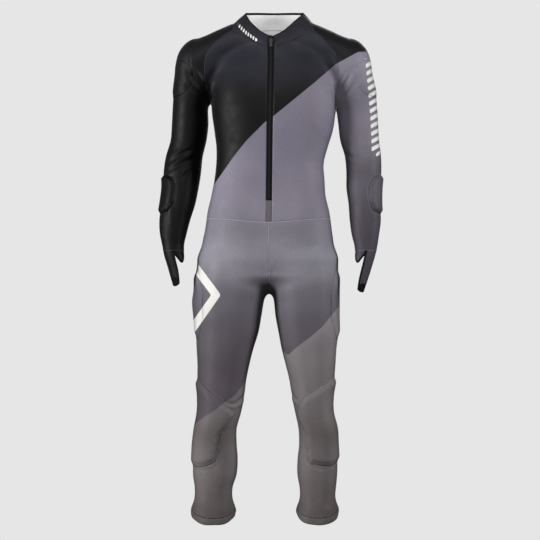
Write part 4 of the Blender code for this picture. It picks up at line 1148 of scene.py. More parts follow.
# The browner grey of the lower legs by row, partly print and partly painted shade. The dip at
# row 508 is painted shade in the groove along the top of the hem band.
LOWER_PRINT_WITH_PAINTED_SHADE = table("row red green blue", [
    (300, 0.1966, 0.1785, 0.1900),
    (355, 0.1641, 0.1478, 0.1554),
    (390, 0.1258, 0.1114, 0.1181),
    (410, 0.1193, 0.1057, 0.1096),
    (430, 0.1078, 0.0940, 0.0940),
    (450, 0.1308, 0.1157, 0.1177),
    (475, 0.1248, 0.1092, 0.1113),
    (495, 0.1019, 0.0875, 0.0864),
    (508, 0.0689, 0.0584, 0.0584),
    (520, 0.0854, 0.0743, 0.0743),
    (530, 0.0857, 0.0746, 0.0746),
])


def tone(rows, tones):
    return np.stack([smooth(rows, tones["row"], tones[c]) for c in
                     ("red", "green", "blue")], axis=-1)


GROOVES = [
    [(373, 174), (368, 184), (366, 200), (367, 212), (371, 219)],
    [(371, 223), (380, 218)],
    [(191, 42), (189.5, 54), (191, 68), (196, 78)],
    [(354.6, 50), (356, 72), (356.2, 84), (358, 92), (361.5, 96.5), (366, 91), (368, 80)],
    [(199, 377.5), (209.5, 387), (220, 396), (225, 402)],
    [(333, 375.5), (324, 380), (315.6, 387), (309, 393), (302, 399.5)],
    [(225, 402), (231, 410), (231, 418), (227, 427), (219.5, 433), (219.5, 444),
     (217.5, 454), (211.5, 461), (203, 465), (193.4, 462)],
    [(203, 469.5), (212, 467), (219, 460), (223, 458)],
    [(302, 399.5), (299.5, 409), (303, 424), (307.5, 429.5), (308, 443), (308, 457),
     (314.6, 461.6), (322.7, 463.4), (331.6, 461.6), (337, 457)],
    [(306.6, 463), (314.6, 466.6), (322.7, 469.6), (333, 467)],
    [(332.7, 273.5), (329.3, 285), (330.4, 299), (333, 314), (336, 332)],
    [(205, 268), (208, 282), (207.5, 300), (203, 318)],
]


def groove_distance(p):
    """How far each point in front is from the nearest narrow groove, in steps."""
    places = view_place(p)
    far = np.full(places.shape[:-1], 30.0)
    for points in GROOVES:
        far = np.minimum(far, np.abs(line_distance(places, rounded(points))[0]))
    return np.where(p[..., 1] < 0.03, far, 30.0)


def printed(p, part):
    """Colours above and below the print's border at each point, which carry painted
    shade and sheen by row, and the distances from the border and from a white band."""
    places = view_place(p)
    rows = places[..., 1]
    line = np.full(rows.shape, -50.0)
    blacks = BLACK_SLEEVE_PRINT_WITH_PAINTED_SHEEN if part.startswith("sleeve") else BLACK_PRINT_WITH_PAINTED_SHEEN
    over, under = tone(rows, blacks), tone(rows, GREY_PRINT_WITH_PAINTED_SHADE)
    band = np.full(rows.shape, 50.0)
    bands = []
    if part == "body":
        line = line_distance(places, np.array(CHEST_LINE))[0]
    if part == "sleeve_left":
        under = tone(rows, SLEEVE_PRINT_WITH_PAINTED_SHADE)
        line = line_distance(places, np.array(CHEST_LINE))[0]
        bands = [SLEEVE_MARK]
    if part == "collar":
        bands = [COLLAR_MARK]
    if part == "leg_right":
        over, under = tone(rows, GREY_PRINT_WITH_PAINTED_SHADE), tone(rows, LOWER_PRINT_WITH_PAINTED_SHADE)
        line = -line_distance(places, np.array(RIGHT_LEG_LINE))[0]
        bands = [HIP_MARK]
    if part == "leg_left":
        over, under = tone(rows, GREY_PRINT_WITH_PAINTED_SHADE), tone(rows, LOWER_PRINT_WITH_PAINTED_SHADE)
        line = line_distance(places, np.array(LEFT_LEG_LINE))[0]
    for points, half, dash in bands:
        points = rounded(points) if dash else np.array(points, float)
        far, share = line_distance(places, points)
        mark = np.abs(far) - half
        if dash:
            along = share * np.linalg.norm(np.diff(points, axis=0), axis=1).sum()
            phase = np.abs((along + 0.5 * far) / (dash * 1.9) % 1 - 0.5)
            mark = np.maximum(mark, (phase - 0.27) * dash * 1.9)
        if part == "sleeve_left":
            mark = np.maximum(mark, (p[..., 1] - 0.014) / STEP)
        band = np.minimum(band, mark)
    return over, under, line, band


# %% [markdown]
# A panel is a thin wall: the printed side out, the white side in. It is made from two
# grids of points and a rim. The printed colours, with their painted shade, go with its
# points as attributes.

# %% From grids to pieces
def add_attribute(mesh, name, kind, values):
    made = mesh.attributes.new(name, kind, "POINT")
    field = "color" if kind == "FLOAT_COLOR" else "value"
    made.data.foreach_set(field, np.ascontiguousarray(values, dtype=np.float32).ravel())


def add_piece(name, vertices, faces, materials, indices=None, smooth_shade=True):
    mesh = bpy.data.meshes.new(name)
    mesh.from_pydata(np.asarray(vertices).tolist(), [], faces)
    for made in materials:
        mesh.materials.append(made)
    if indices is not None:
        mesh.polygons.foreach_set("material_index", indices)
    mesh.polygons.foreach_set("use_smooth", [smooth_shade] * len(mesh.polygons))
    mesh.update()
    piece = bpy.data.objects.new(name, mesh)
    bpy.context.scene.collection.objects.link(piece)
    return piece


def wall_faces(rows, columns):
    """Faces of a wall between two grids: its outer face, its inner face and its rim."""
    number = np.arange(rows * columns).reshape(rows, columns)
    a, b = number[:-1, :-1].ravel(), number[1:, :-1].ravel()
    c, d = number[1:, 1:].ravel(), number[:-1, 1:].ravel()
    outer = np.stack([a, b, c, d], axis=1)
    inner = outer[:, ::-1] + rows * columns
    border = np.concatenate([number[:-1, 0], number[-1, :-1], number[:0:-1, -1],
                             number[0, :0:-1]])
    after = np.roll(border, -1)
    rim = np.stack([after, border, border + rows * columns, after + rows * columns], axis=1)
    return outer, inner, rim


def wall_piece(name, outer, inner, part, materials):
    """Outer points get the first material, and inner ones the second."""
    rows, columns = outer.shape[:2]
    faces = wall_faces(rows, columns)
    across = np.cross(outer[1, 0] - outer[0, 0], outer[0, 1] - outer[0, 0])
    if across @ (outer[0, 0] - inner[0, 0]) < 0:
        faces = [f[:, ::-1] for f in faces]
    indices = [0] * len(faces[0]) + [1] * len(faces[1]) + [0] * len(faces[2])
    points = np.concatenate([outer.reshape(-1, 3), inner.reshape(-1, 3)])
    piece = add_piece(name, points, np.concatenate(faces).tolist(), materials, indices)
    over, under, line, band = printed(np.stack([outer, outer]), part)
    one = np.ones(over.shape[:-1] + (1,))
    add_attribute(piece.data, "over", "FLOAT_COLOR", np.concatenate([over, one], axis=-1))
    add_attribute(piece.data, "under", "FLOAT_COLOR", np.concatenate([under, one], axis=-1))
    add_attribute(piece.data, "line", "FLOAT", line)
    add_attribute(piece.data, "band", "FLOAT", band)
    groove = groove_distance(outer)
    add_attribute(piece.data, "groove", "FLOAT", np.stack([groove, groove]))
    return piece


def edge_sink(grid, depth):
    """Sinks a panel's edge a little and lifts the row beside it, as at a sewn seam."""
    rows = np.minimum(np.arange(grid.shape[0]), np.arange(grid.shape[0])[::-1])
    columns = np.minimum(np.arange(grid.shape[1]), np.arange(grid.shape[1])[::-1])
    ring = np.minimum(rows[:, None], columns[None, :])
    return np.where(ring == 0, -depth, np.where(ring == 1, depth * 0.35, 0.0))


def edge_distance(grid):
    """How far each point is from the grid's border."""
    border = np.concatenate([grid[0], grid[-1], grid[:, 0], grid[:, -1]])
    flat = grid.reshape(-1, 3)
    far = [np.linalg.norm(border - p, axis=1).min() for p in flat]
    return np.array(far).reshape(grid.shape[:2])


# %% [markdown]
# The suit's knit is a fine, satin-faced stretch jersey. Its material draws the print
# from the attributes, adds the slight unevenness of dye, a grain about as fine as the
# stitches, and long soft streaks, because knit under tension isn't quite even. It also
# paints shade, turning the colour dark where the cloth is seen at a slant.

# %% The knit's material
def new_material(name, roughness):
    made = bpy.data.materials.new(name)
    made.use_nodes = True
    tree = made.node_tree
    shader = tree.nodes["Principled BSDF"]
    shader.inputs["Roughness"].default_value = roughness
    return made, tree, shader


def add_node(tree, kind, **values):
    node = tree.nodes.new(kind)
    for key, value in values.items():
        setattr(node, key, value)
    return node


def attribute(tree, name, output):
    return add_node(tree, "ShaderNodeAttribute", attribute_name=name).outputs[output]


def noise(tree, scale, detail=2.0, stretch=(1, 1, 1)):
    place = add_node(tree, "ShaderNodeTexCoord")
    turn = add_node(tree, "ShaderNodeMapping")
    turn.inputs["Scale"].default_value = stretch
    tree.links.new(place.outputs["Object"], turn.inputs["Vector"])
    made = add_node(tree, "ShaderNodeTexNoise")
    made.inputs["Scale"].default_value = scale
    made.inputs["Detail"].default_value = detail
    tree.links.new(turn.outputs["Vector"], made.inputs["Vector"])
    return made.outputs["Fac"]


def ranged(tree, value, low, high, to_low, to_high):
    made = add_node(tree, "ShaderNodeMapRange")
    for name, number in (("From Min", low), ("From Max", high), ("To Min", to_low),
                         ("To Max", to_high)):
        made.inputs[name].default_value = number
    tree.links.new(value, made.inputs["Value"])
    return made.outputs["Result"]


def mixed(tree, share, first, second, blend="MIX"):
    """Mixes two colours. Each is a socket or a plain colour."""
    made = add_node(tree, "ShaderNodeMix", data_type="RGBA", blend_type=blend)
    for value, slot in ((share, 0), (first, 6), (second, 7)):
        if hasattr(value, "links"):
            tree.links.new(value, made.inputs[slot])
        elif slot == 0:
            made.inputs[slot].default_value = value
        else:
            made.inputs[slot].default_value = (*value, 1)
    return made.outputs[2]


def bumped(tree, shader, layers):
    """Adds bumps, each a height, its strength and its depth in metres."""
    normal = None
    for height, strength, depth in layers:
        bump = add_node(tree, "ShaderNodeBump")
        bump.inputs["Strength"].default_value = strength
        bump.inputs["Distance"].default_value = depth
        tree.links.new(height, bump.inputs["Height"])
        if normal is not None:
            tree.links.new(normal, bump.inputs["Normal"])
        normal = bump.outputs["Normal"]
    tree.links.new(normal, shader.inputs["Normal"])


def grain(tree, colour, amount):
    """Multiplies a colour by fine and by broad unevenness."""
    fine = ranged(tree, noise(tree, 620, 3), 0.25, 0.75, 1 - amount, 1 + amount)
    broad = ranged(tree, noise(tree, 9, 3), 0.3, 0.7, 1 - amount * 0.6, 1 + amount * 0.6)
    for value in (fine, broad):
        grey = add_node(tree, "ShaderNodeCombineColor")
        for channel in ("Red", "Green", "Blue"):
            tree.links.new(value, grey.inputs[channel])
        colour = mixed(tree, 1.0, colour, grey.outputs["Color"], "MULTIPLY")
    return colour


def knit_material(name):
    made, tree, shader = new_material(name, 0.44)
    border = ranged(tree, attribute(tree, "line", "Fac"), -0.12, 0.12, 0, 1)
    colour = mixed(tree, border, attribute(tree, "over", "Color"),
                   attribute(tree, "under", "Color"))
    inside_band = ranged(tree, attribute(tree, "band", "Fac"), -0.12, 0.12, 1, 0)
    colour = mixed(tree, inside_band, colour, (0.64, 0.63, 0.61))
    # Painted shade: the colour turns almost black where the cloth is seen at a slant, so the
    # suit's edges look shaded from every side.
    turned = add_node(tree, "ShaderNodeLayerWeight")
    turned.inputs["Blend"].default_value = 0.5
    turned = ranged(tree, turned.outputs["Facing"], 0.5, 0.98, 0, 0.55)
    colour = mixed(tree, turned, colour, (0.010, 0.007, 0.009))
    tree.links.new(grain(tree, colour, 0.19), shader.inputs["Base Color"])
    rough = ranged(tree, noise(tree, 40, 2), 0.3, 0.7, 0.50, 0.62)
    tree.links.new(rough, shader.inputs["Roughness"])
    shader.inputs["Specular IOR Level"].default_value = 0.15
    shader.inputs["Sheen Weight"].default_value = 0.06
    shader.inputs["Sheen Roughness"].default_value = 0.4
    groove = ranged(tree, attribute(tree, "groove", "Fac"), 0.0, 0.9, 0, 1)
    bumped(tree, shader, [
        (noise(tree, 1500, 1), 0.22, 0.0004),
        (noise(tree, 34, 2, (1.0, 1.0, 0.16)), 0.16, 0.0030),
        (groove, 0.8, 0.0007),
    ])
    return made


def plain_cloth(name, colour, roughness, scale=1300, strength=0.3, specular=0.4):
    made, tree, shader = new_material(name, roughness)
    tree.links.new(grain(tree, colour, 0.08), shader.inputs["Base Color"])
    shader.inputs["Specular IOR Level"].default_value = specular
    bumped(tree, shader, [(noise(tree, scale, 1), strength, 0.0004)])
    return made


KNIT_WITH_PAINTED_SHADE = knit_material("printed knit with painted shade")
WHITE = plain_cloth("unprinted inside", (0.93, 0.93, 0.935), 0.7)
TAPE = plain_cloth("zip tape", (0.005, 0.005, 0.0055), 0.85, 900, 0.4, 0.08)
COIL = plain_cloth("zip coil", (0.010, 0.010, 0.011), 0.6, 500, 0.1, 0.2)
BINDING = plain_cloth("black elastic", (0.0035, 0.0035, 0.0038), 0.8, 800, 0.5, 0.08)
BLUE_THREAD = plain_cloth("blue thread", (0.050, 0.066, 0.100), 0.5, 900, 0.2)
SEAM_GREY = plain_cloth("seam thread on grey", (0.255, 0.24, 0.275), 0.6, 900, 0.2)
# Painted shade: the grey seam thread at the left cuff is made darker to match the lower sleeve's
# tone, which is partly painted shade.
SHADED_CUFF_GREY = plain_cloth("seam thread at the cuff, with painted shade", (0.066, 0.057, 0.070), 0.6, 900, 0.2)
CUFF_BLACK = plain_cloth("seam thread on black", (0.003, 0.003, 0.0035), 0.6, 900, 0.2)
GREY_THREAD = plain_cloth("grey thread", (0.34, 0.33, 0.35), 0.5, 900, 0.2)
print("materials", len(bpy.data.materials))

# %% [markdown]
# Now the panels. Each replaces the model's plain panel of the same name and rides on the
# suit. The suit is cut smaller than it is worn, because the knit stretches by about a
# seventh.

# %% Panels and their worn areas
SEAMS = []


def finished(piece, node):
    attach(piece, "root")
    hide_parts(*([node] if isinstance(node, str) else node))
    return piece


def piece_area(piece):
    return sum(face.area for face in piece.data.polygons)


def panel(name, grid, part):
    grid = fine_panel(grid)
    out = outward(grid)
    lift = relief(grid, out)
    outer = grid + (lift + edge_sink(grid, 0.00005))[..., None] * out
    inner = grid + (lift - WALL)[..., None] * out
    piece = wall_piece(name + "_cloth", outer, inner, part, [KNIT_WITH_PAINTED_SHADE, WHITE])
    print(name, len(piece.data.polygons), "faces, worn area", round(piece_area(piece) / 2, 4))
    return finished(piece, name), grid, out


# %% Fronts and back
GRIDS = {}
for side in SIDES:
    name = "front_" + side
    _, *GRIDS[name] = panel(name, front_panel(side), "body")
_, *GRIDS["back"] = panel("back", back_panel(), "body")

# %% Sleeves
for side in SIDES:
    name = "sleeve_" + side
    _, *GRIDS[name] = panel(name, sleeve_rows(side), name)

# %% Legs
for side in SIDES:
    for word, face in (("front", -1), ("back", 1)):
        name = "leg_%s_%s" % (word, side)
        _, *GRIDS[name] = panel(name, leg_panel(side, face), "leg_" + side)

# %% [markdown]
# The hem is a separate turned band, a little fuller than the leg, so it flares. Its
# upper edge is a groove with a row of stitches, and its lower edge is a soft roll.

# %% Hem bands
def roll_edge(grid, out, which, depth=0.0011):
    """Turns one edge of a wall in, so that it looks folded and not cut."""
    moved = grid.copy()
    moved[which] -= depth * out[which]
    return moved


for side in SIDES:
    grid = finer(hem_band(side), 6, FINER)
    out = outward(grid)
    share = np.linspace(0, 1, len(grid))[:, None]
    swell = 0.0012 * np.sin(share * math.pi) ** 0.5 - 0.0004
    wave = 0.0009 * np.sin(np.arange(grid.shape[1]) * 0.41 + (2 if side == "left" else 0))
    outer = grid + (swell + wave * share)[..., None] * out
    outer = roll_edge(outer, out, -1)
    inner = grid + (wave * share - 0.0024)[..., None] * out
    piece = wall_piece("hem_band_%s_cloth" % side, outer, inner, "leg_" + side, [KNIT_WITH_PAINTED_SHADE, KNIT_WITH_PAINTED_SHADE])
    print("hem", side, round(piece_area(piece) / 2, 4))
    finished(piece, "hem_band_" + side)
    GRIDS["hem_" + side] = (grid, out)

# %% [markdown]
# The pads are foam under the knit, so they show as raised fields with soft edges. Each
# is a closed form that lies on its panel and thins out at its border.

# %% Pads
def pad_piece(name, side, part):
    node = "%s_pad_%s" % (name, side)
    base = pad_grid(name, side)
    out = outward(base)
    far = edge_distance(base)
    rise = np.clip(far / PAD_EDGE[name], 0, 1)
    rise = rise * rise * (3 - 2 * rise)
    lift = relief(base, out)
    top = base + (lift + PAD_LIFT + PAD_RISE[name] * rise)[..., None] * out
    under = base + (lift + 0.0001)[..., None] * out
    piece = wall_piece(node + "_foam", top, under, part, [KNIT_WITH_PAINTED_SHADE, KNIT_WITH_PAINTED_SHADE])
    finished(piece, node)
    return base, out


PAD_EDGE = {"shoulder": 0.020, "forearm": 0.009, "thigh": 0.018, "knee": 0.016}
PAD_RISE = {"shoulder": 0.0026, "forearm": 0.0062, "thigh": 0.0036, "knee": 0.0056}
PAD_CELLS = {name: (rows * 4, columns * 4) for name, (rows, columns) in PAD_CELLS.items()}
for name in PAD_CELLS:
    for side in SIDES:
        limb = "leg_" if name in ("thigh", "knee") else "sleeve_"
        GRIDS[name + "_pad_" + side] = pad_piece(name, side, limb + side)
print("pads", len(PAD_CELLS) * 2)

# %% [markdown]
# The collar stands up from the neck's seam and slopes down to the zip. Outside it is
# printed, and inside it has a plain white facing, which shows at the back of the neck. A
# narrow black binding runs over its edge.

# %% Collar and facing
NECK_MIDDLE = np.array([NECK_X, COLLAR_MIDDLE_Y, 0])
collar = finer(collar_grid(), FINER, FINER)
collar_out = grid_outward(collar, NECK_MIDDLE)
piece = wall_piece("collar_cloth", collar + edge_sink(collar, 0.0004)[..., None] * collar_out,
                   collar - 0.0016 * collar_out, "collar", [KNIT_WITH_PAINTED_SHADE, KNIT_WITH_PAINTED_SHADE])
print("collar", round(piece_area(piece) / 2, 4))
finished(piece, "collar")
facing_rows = collar[: int(len(collar) * 0.86)]
facing_out = collar_out[: len(facing_rows)]
sag = 0.0010 * np.sin(np.linspace(0, 9, facing_rows.shape[1]))[None, :, None]
piece = wall_piece("collar_facing_cloth", facing_rows - (0.0021 + sag * 0.5) * facing_out,
                   facing_rows - (0.0030 + sag) * facing_out, "collar", [WHITE, WHITE])
print("facing", round(piece_area(piece) / 2, 4))
finished(piece, "collar_facing")


# %% [markdown]
# Bindings and cords of thread are flat tubes along a line of points on the cloth.

# %% A flat tube
def tube_piece(name, line, out, half_width, half_height, finish, sides=10):
    line, out = np.array(line, float), np.array(out, float)
    way = np.gradient(line, axis=0)
    way /= np.linalg.norm(way, axis=1, keepdims=True)
    across = np.cross(way, out)
    across /= np.linalg.norm(across, axis=1, keepdims=True)
    turn = np.linspace(0, 2 * math.pi, sides, endpoint=False)
    ring = (np.cos(turn)[None, :, None] * half_width * across[:, None]
            + np.sin(turn)[None, :, None] * half_height * out[:, None])
    points = (line[:, None] + ring).reshape(-1, 3)
    faces = []
    for i in range(len(line) - 1):
        for j in range(sides):
            k = (j + 1) % sides
            faces.append([i * sides + j, i * sides + k, (i + 1) * sides + k,
                          (i + 1) * sides + j])
    faces.append(list(range(sides)))
    faces.append(list(range(len(points) - 1, len(points) - 1 - sides, -1)))
    piece = add_piece(name, points, faces, [finish])
    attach(piece, "root")
    return piece


tube_piece("collar_edge", collar[-1] - 0.0010 * collar_out[-1], collar_out[-1],
           0.0022, 0.0016, BINDING)

# %% [markdown]
# The zip runs from the collar's edge to a little above the waist, and a strip of knit
# closes the front below it. Its tape is woven and matt, and the coil shows as a row of
# fine ribs. The tape lies a little higher than the cloth on each side.

# %% Zip and fly strip
def zip_rows():
    edge = collar_grid()
    ends = np.stack([edge[:, 0], (edge[:, 0] + edge[:, -1]) / 2, edge[:, -1]], axis=1)
    ends[:, 1] += np.array([0, -0.001, 0])
    return np.concatenate([ends[:0:-1], zip_grid(0, ZIP_FOOT_ROW)])


tape = finer(zip_rows(), 6, 4)
tape_out = grid_outward(tape, np.array([0, 0.1, -0.25]))
profile = np.array([-0.0003, 0.0008, 0.0009, 0.0016, 0.0020, 0.0016, 0.0009, 0.0008, -0.0003])
outer = tape + profile[None, :, None] * tape_out
piece = wall_piece("zip_tape_cloth", outer, tape - 0.0009 * tape_out, "collar", [TAPE, TAPE])
print("tape", round(piece_area(piece) / 2, 4))
finished(piece, "zip_tape")


def ribs(line, out, pitch, half_width, half_length, height):
    """Small low ribs across a line."""
    step = np.linalg.norm(np.diff(line, axis=0), axis=1)
    at = np.concatenate([[0], np.cumsum(step)])
    places = np.arange(0.004, at[-1] - 0.002, pitch)
    middle = np.stack([np.interp(places, at, line[:, k]) for k in range(3)], axis=1)
    up = np.stack([np.interp(places, at, out[:, k]) for k in range(3)], axis=1)
    way = np.gradient(middle, axis=0)
    way /= np.linalg.norm(way, axis=1, keepdims=True)
    across = np.cross(way, up)
    points, faces = [], []
    for m, u, w, a in zip(middle, up, way, across):
        first = len(points)
        low = [m + sa * half_width * a + sw * half_length * w
               for sa, sw in ((-1, -1), (1, -1), (1, 1), (-1, 1))]
        high = [m + height * u + sa * half_width * 0.8 * a + sw * half_length * 0.5 * w
                for sa, sw in ((-1, -1), (1, -1), (1, 1), (-1, 1))]
        points += low + high
        for k in range(4):
            n = (k + 1) % 4
            faces.append([first + k, first + n, first + 4 + n, first + 4 + k])
        faces.append([first + 4, first + 5, first + 6, first + 7])
        faces.append([first + 3, first + 2, first + 1, first])
    return points, faces


line = tape[:, 4] + 0.0019 * tape_out[:, 4]
points, faces = ribs(line, tape_out[:, 4], 0.0014, 0.0024, 0.0005, 0.0005)
piece = add_piece("zip_coil", points, faces, [COIL], smooth_shade=False)
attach(piece, "root")
strip = onto_figure(finer(zip_grid(ZIP_FOOT_ROW, RAGLAN_ROWS + BODY_ROWS), 8, 4), rounds=2)
strip_out = outward(strip)
piece = wall_piece("fly_strip_cloth", strip - 0.0004 * strip_out, strip - 0.0016 * strip_out,
                   "fly", [plain_cloth("fly strip knit", (0.079, 0.067, 0.084), 0.55), WHITE])
print("fly", round(piece_area(piece) / 2, 5))
finished(piece, "fly_strip")


# %% [markdown]
# The slider is a small cast wedge with a bridge over it, and its pull is a moulded tab
# that hangs from the bridge against the tape.

# %% Slider and pull
def plate_piece(name, outline, thickness, bevel, place, finish):
    """A flat shape with rounded edges: its outline is in x and z, and it faces -y."""
    work = bmesh.new()
    corners = [work.verts.new((x, 0, z)) for x, z in outline]
    face = work.faces.new(corners)
    made = bmesh.ops.extrude_face_region(work, geom=[face])
    moved = [v for v in made["geom"] if isinstance(v, bmesh.types.BMVert)]
    bmesh.ops.translate(work, verts=moved, vec=(0, -thickness, 0))
    bmesh.ops.recalc_face_normals(work, faces=work.faces)
    bmesh.ops.bevel(work, geom=list(work.edges), offset=bevel, segments=3, affect="EDGES",
                    profile=0.6)
    work.transform(place)
    mesh = bpy.data.meshes.new(name)
    work.to_mesh(mesh)
    work.free()
    mesh.materials.append(finish)
    piece = bpy.data.objects.new(name, mesh)
    bpy.context.scene.collection.objects.link(piece)
    for polygon in mesh.polygons:
        polygon.use_smooth = True
    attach(piece, "root")
    return piece


def metal_material(name, colour, metallic, roughness):
    made, tree, shader = new_material(name, roughness)
    tree.links.new(grain(tree, colour, 0.12), shader.inputs["Base Color"])
    shader.inputs["Metallic"].default_value = metallic
    bumped(tree, shader, [(noise(tree, 420, 3), 0.15, 0.0003)])
    return made


BRONZE = metal_material("dark bronze", (0.075, 0.058, 0.042), 0.7, 0.42)
RUBBER = metal_material("moulded pull", (0.016, 0.016, 0.018), 0.0, 0.5)
low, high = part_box("zip_slider")
middle = (Vector(low) + Vector(high)) / 2
edge = collar_grid()
foot, top = (edge[0, 0] + edge[0, -1]) / 2, (edge[-1, 0] + edge[-1, -1]) / 2
lean = -math.atan2(top[1] - foot[1], top[2] - foot[2])
place = Matrix.Translation(middle) @ Matrix.Rotation(lean, 4, "X")
shield = [(-0.0026, -0.0066), (0.0026, -0.0066), (0.0040, -0.0030), (0.0048, 0.0045),
          (0.0030, 0.0066), (-0.0030, 0.0066), (-0.0048, 0.0045), (-0.0040, -0.0030)]
back = place @ Matrix.Translation((0, 0.0024, 0))
piece = plate_piece("slider_body", shield, 0.0030, 0.0006, back, BRONZE)
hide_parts("zip_slider")
bridge = [(-0.0014, -0.0040), (0.0014, -0.0040), (0.0014, 0.0050), (-0.0014, 0.0050)]
back = place @ Matrix.Translation((0, -0.0004, 0))
plate_piece("slider_bridge", bridge, 0.0020, 0.0006, back, BRONZE)
low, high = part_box("zip_pull")
middle = (Vector(low) + Vector(high)) / 2
place = Matrix.Translation(middle) @ Matrix.Rotation(lean, 4, "X")
tab = [(-0.0020, 0.0130), (0.0020, 0.0130), (0.0030, 0.0070), (0.0036, -0.0100),
       (0.0022, -0.0130), (-0.0022, -0.0130), (-0.0036, -0.0100), (-0.0030, 0.0070)]
piece = plate_piece("pull_tab", tab, 0.0018, 0.0005,
                    place @ Matrix.Translation((0, 0.0009, 0)), RUBBER)
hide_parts("zip_pull")
rib = [(-0.0016, -0.0085), (0.0016, -0.0085), (0.0014, 0.0020), (-0.0014, 0.0020)]
plate_piece("pull_rib", rib, 0.0008, 0.0003,
            place @ Matrix.Translation((0, -0.0008, 0)), RUBBER)

# %% [markdown]
# Each sleeve ends in a tongue over the back of the hand, with an elastic loop for a
# finger, drawn as a black elastic tip, and a small flap on the palm's side. Black elastic
# binds all their edges.

# %% Hand tongues and flaps
for side in SIDES:
    grid = finer(tongue_grid(side), 5, 5)
    middle = np.array([TONGUE["left_x"][0] * SIDES[side], TONGUE_Y, CUFF_Z])
    out = grid_outward(grid, middle)
    part = "sleeve_" + side
    piece = wall_piece("hand_tongue_%s_cloth" % side, grid, grid - WALL * out, part,
                       [KNIT_WITH_PAINTED_SHADE, WHITE])
    print("tongue", round(piece_area(piece) / 2, 5))
    finished(piece, "hand_tongue_" + side)
    border = np.concatenate([grid[:, 0], grid[-1, 1:], grid[-2::-1, -1]])
    normals = np.concatenate([out[:, 0], out[-1, 1:], out[-2::-1, -1]])
    tube_piece("tongue_binding_" + side, border - WALL / 4 * normals, normals, 0.0025,
               0.0015, BINDING)
    piece.data.materials.append(BINDING)
    tip_z = grid[-1][:, 2].min() + 0.021
    for polygon in piece.data.polygons:
        if polygon.center.z < tip_z:
            polygon.material_index = 2
    grid = finer(flap_grid(side), 5, 6)
    out = np.tile(outward(grid[0]), (len(grid), 1, 1))
    piece = wall_piece("palm_flap_%s_cloth" % side, grid, grid - WALL * out, part,
                       [KNIT_WITH_PAINTED_SHADE, WHITE])
    print("flap", round(piece_area(piece) / 2, 5))
    finished(piece, "palm_flap_" + side)
    border = np.concatenate([grid[:, 0], grid[-1, 1:], grid[-2::-1, -1]])
    normals = np.concatenate([out[:, 0], out[-1, 1:], out[-2::-1, -1]])
    tube_piece("flap_binding_" + side, border - WALL / 4 * normals, normals, 0.0025,
               0.0015, BINDING)
    last, last_out = GRIDS["sleeve_" + side][0][-1], GRIDS["sleeve_" + side][1][-1]
    first, end = TONGUE_COLUMNS[1] * FINER, len(last)
    tube_piece("cuff_binding_" + side, last[first:end] - WALL / 2 * last_out[first:end],
               last_out[first:end], 0.0019, 0.0014, BINDING)

# %% [markdown]
# The seams are flat ones: the edges meet, and threads cross over both. Two rows of small
# stitches run beside each seam. They are tiny, so all are made at once as one mesh for
# each colour of thread: bluish on the black print and pale on the grey.

# %% Stitches
STITCH, STITCH_GAP, STITCH_HALF, STITCH_HEIGHT = 0.0026, 0.0012, 0.00034, 0.00024
threads = {"blue": [], "grey": []}


def stitch_row(line, out, part):
    """Small raised stitches along a line of points."""
    step = np.linalg.norm(np.diff(line, axis=0), axis=1)
    at = np.concatenate([[0], np.cumsum(step)])
    starts = np.arange(0.001, at[-1] - STITCH, STITCH + STITCH_GAP)
    if not len(starts):
        return

    def read(places, values):
        return np.stack([np.interp(places, at, values[:, k]) for k in range(3)], axis=1)

    first, last = read(starts, line), read(starts + STITCH, line)
    up = read(starts + STITCH / 2, out)
    middle = (first + last) / 2
    way = (last - first) / np.linalg.norm(last - first, axis=1, keepdims=True)
    across = np.cross(way, up)
    _, _, border, _ = printed(middle, part)
    dark = border < 0 if part in ("body", "sleeve_left") else np.full(
        len(middle), part in ("sleeve_right", "collar"))
    five = np.stack([first, last, middle + STITCH_HALF * across,
                     middle - STITCH_HALF * across, middle + STITCH_HEIGHT * up], axis=1)
    threads["blue"].append(five[dark])
    threads["grey"].append(five[~dark])


def crossing_row(line, out, part):
    """Threads that cross a seam to and fro."""
    step = np.linalg.norm(np.diff(line, axis=0), axis=1)
    at = np.concatenate([[0], np.cumsum(step)])
    starts = np.arange(0.001, at[-1] - 0.002, 0.0019)

    def read(places, values):
        return np.stack([np.interp(places, at, values[:, k]) for k in range(3)], axis=1)

    way = read(starts + 0.001, line) - read(starts - 0.001, line)
    way /= np.linalg.norm(way, axis=1, keepdims=True)
    up = read(starts, out)
    across = np.cross(way, up)
    middle = read(starts, line) + 0.0003 * up
    slant = np.where(np.arange(len(starts)) % 2, 1, -1)[:, None]
    half = 0.0019 * across + 0.00075 * slant * way
    _, _, border, _ = printed(middle, part)
    dark = border < 0 if part in ("body", "sleeve_left") else np.full(
        len(middle), part in ("sleeve_right", "collar"))
    side = STITCH_HALF * way
    five = np.stack([middle - half, middle + half, middle + side, middle - side,
                     middle + STITCH_HEIGHT * up], axis=1)
    threads["blue"].append(five[dark])
    threads["grey"].append(five[~dark])


def along_edge(name, which, part):
    grid, out = GRIDS[name]
    placed = grid + (relief(grid, out) + 0.0001)[..., None] * out
    edge = {"top": np.s_[0], "bottom": np.s_[-1], "first": np.s_[:, 0],
            "last": np.s_[:, -1]}[which]
    crossing_row(placed[edge], out[edge], part)


def beside_edge(name, which, part, offset=0.0032):
    """A row of stitches beside one edge of a panel."""
    grid, out = GRIDS[name]
    lift = relief(grid, out)
    placed = grid + (lift + 0.0002)[..., None] * out
    edge = {"top": placed[0], "bottom": placed[-1], "first": placed[:, 0],
            "last": placed[:, -1]}[which]
    inside = {"top": placed[2], "bottom": placed[-3], "first": placed[:, 2],
              "last": placed[:, -3]}[which]
    normals = {"top": out[0], "bottom": out[-1], "first": out[:, 0], "last": out[:, -1]}[which]
    way = inside - edge
    way /= np.maximum(np.linalg.norm(way, axis=1, keepdims=True), 1e-9)
    stitch_row(edge + offset * way + 0.0002 * normals, normals, part)


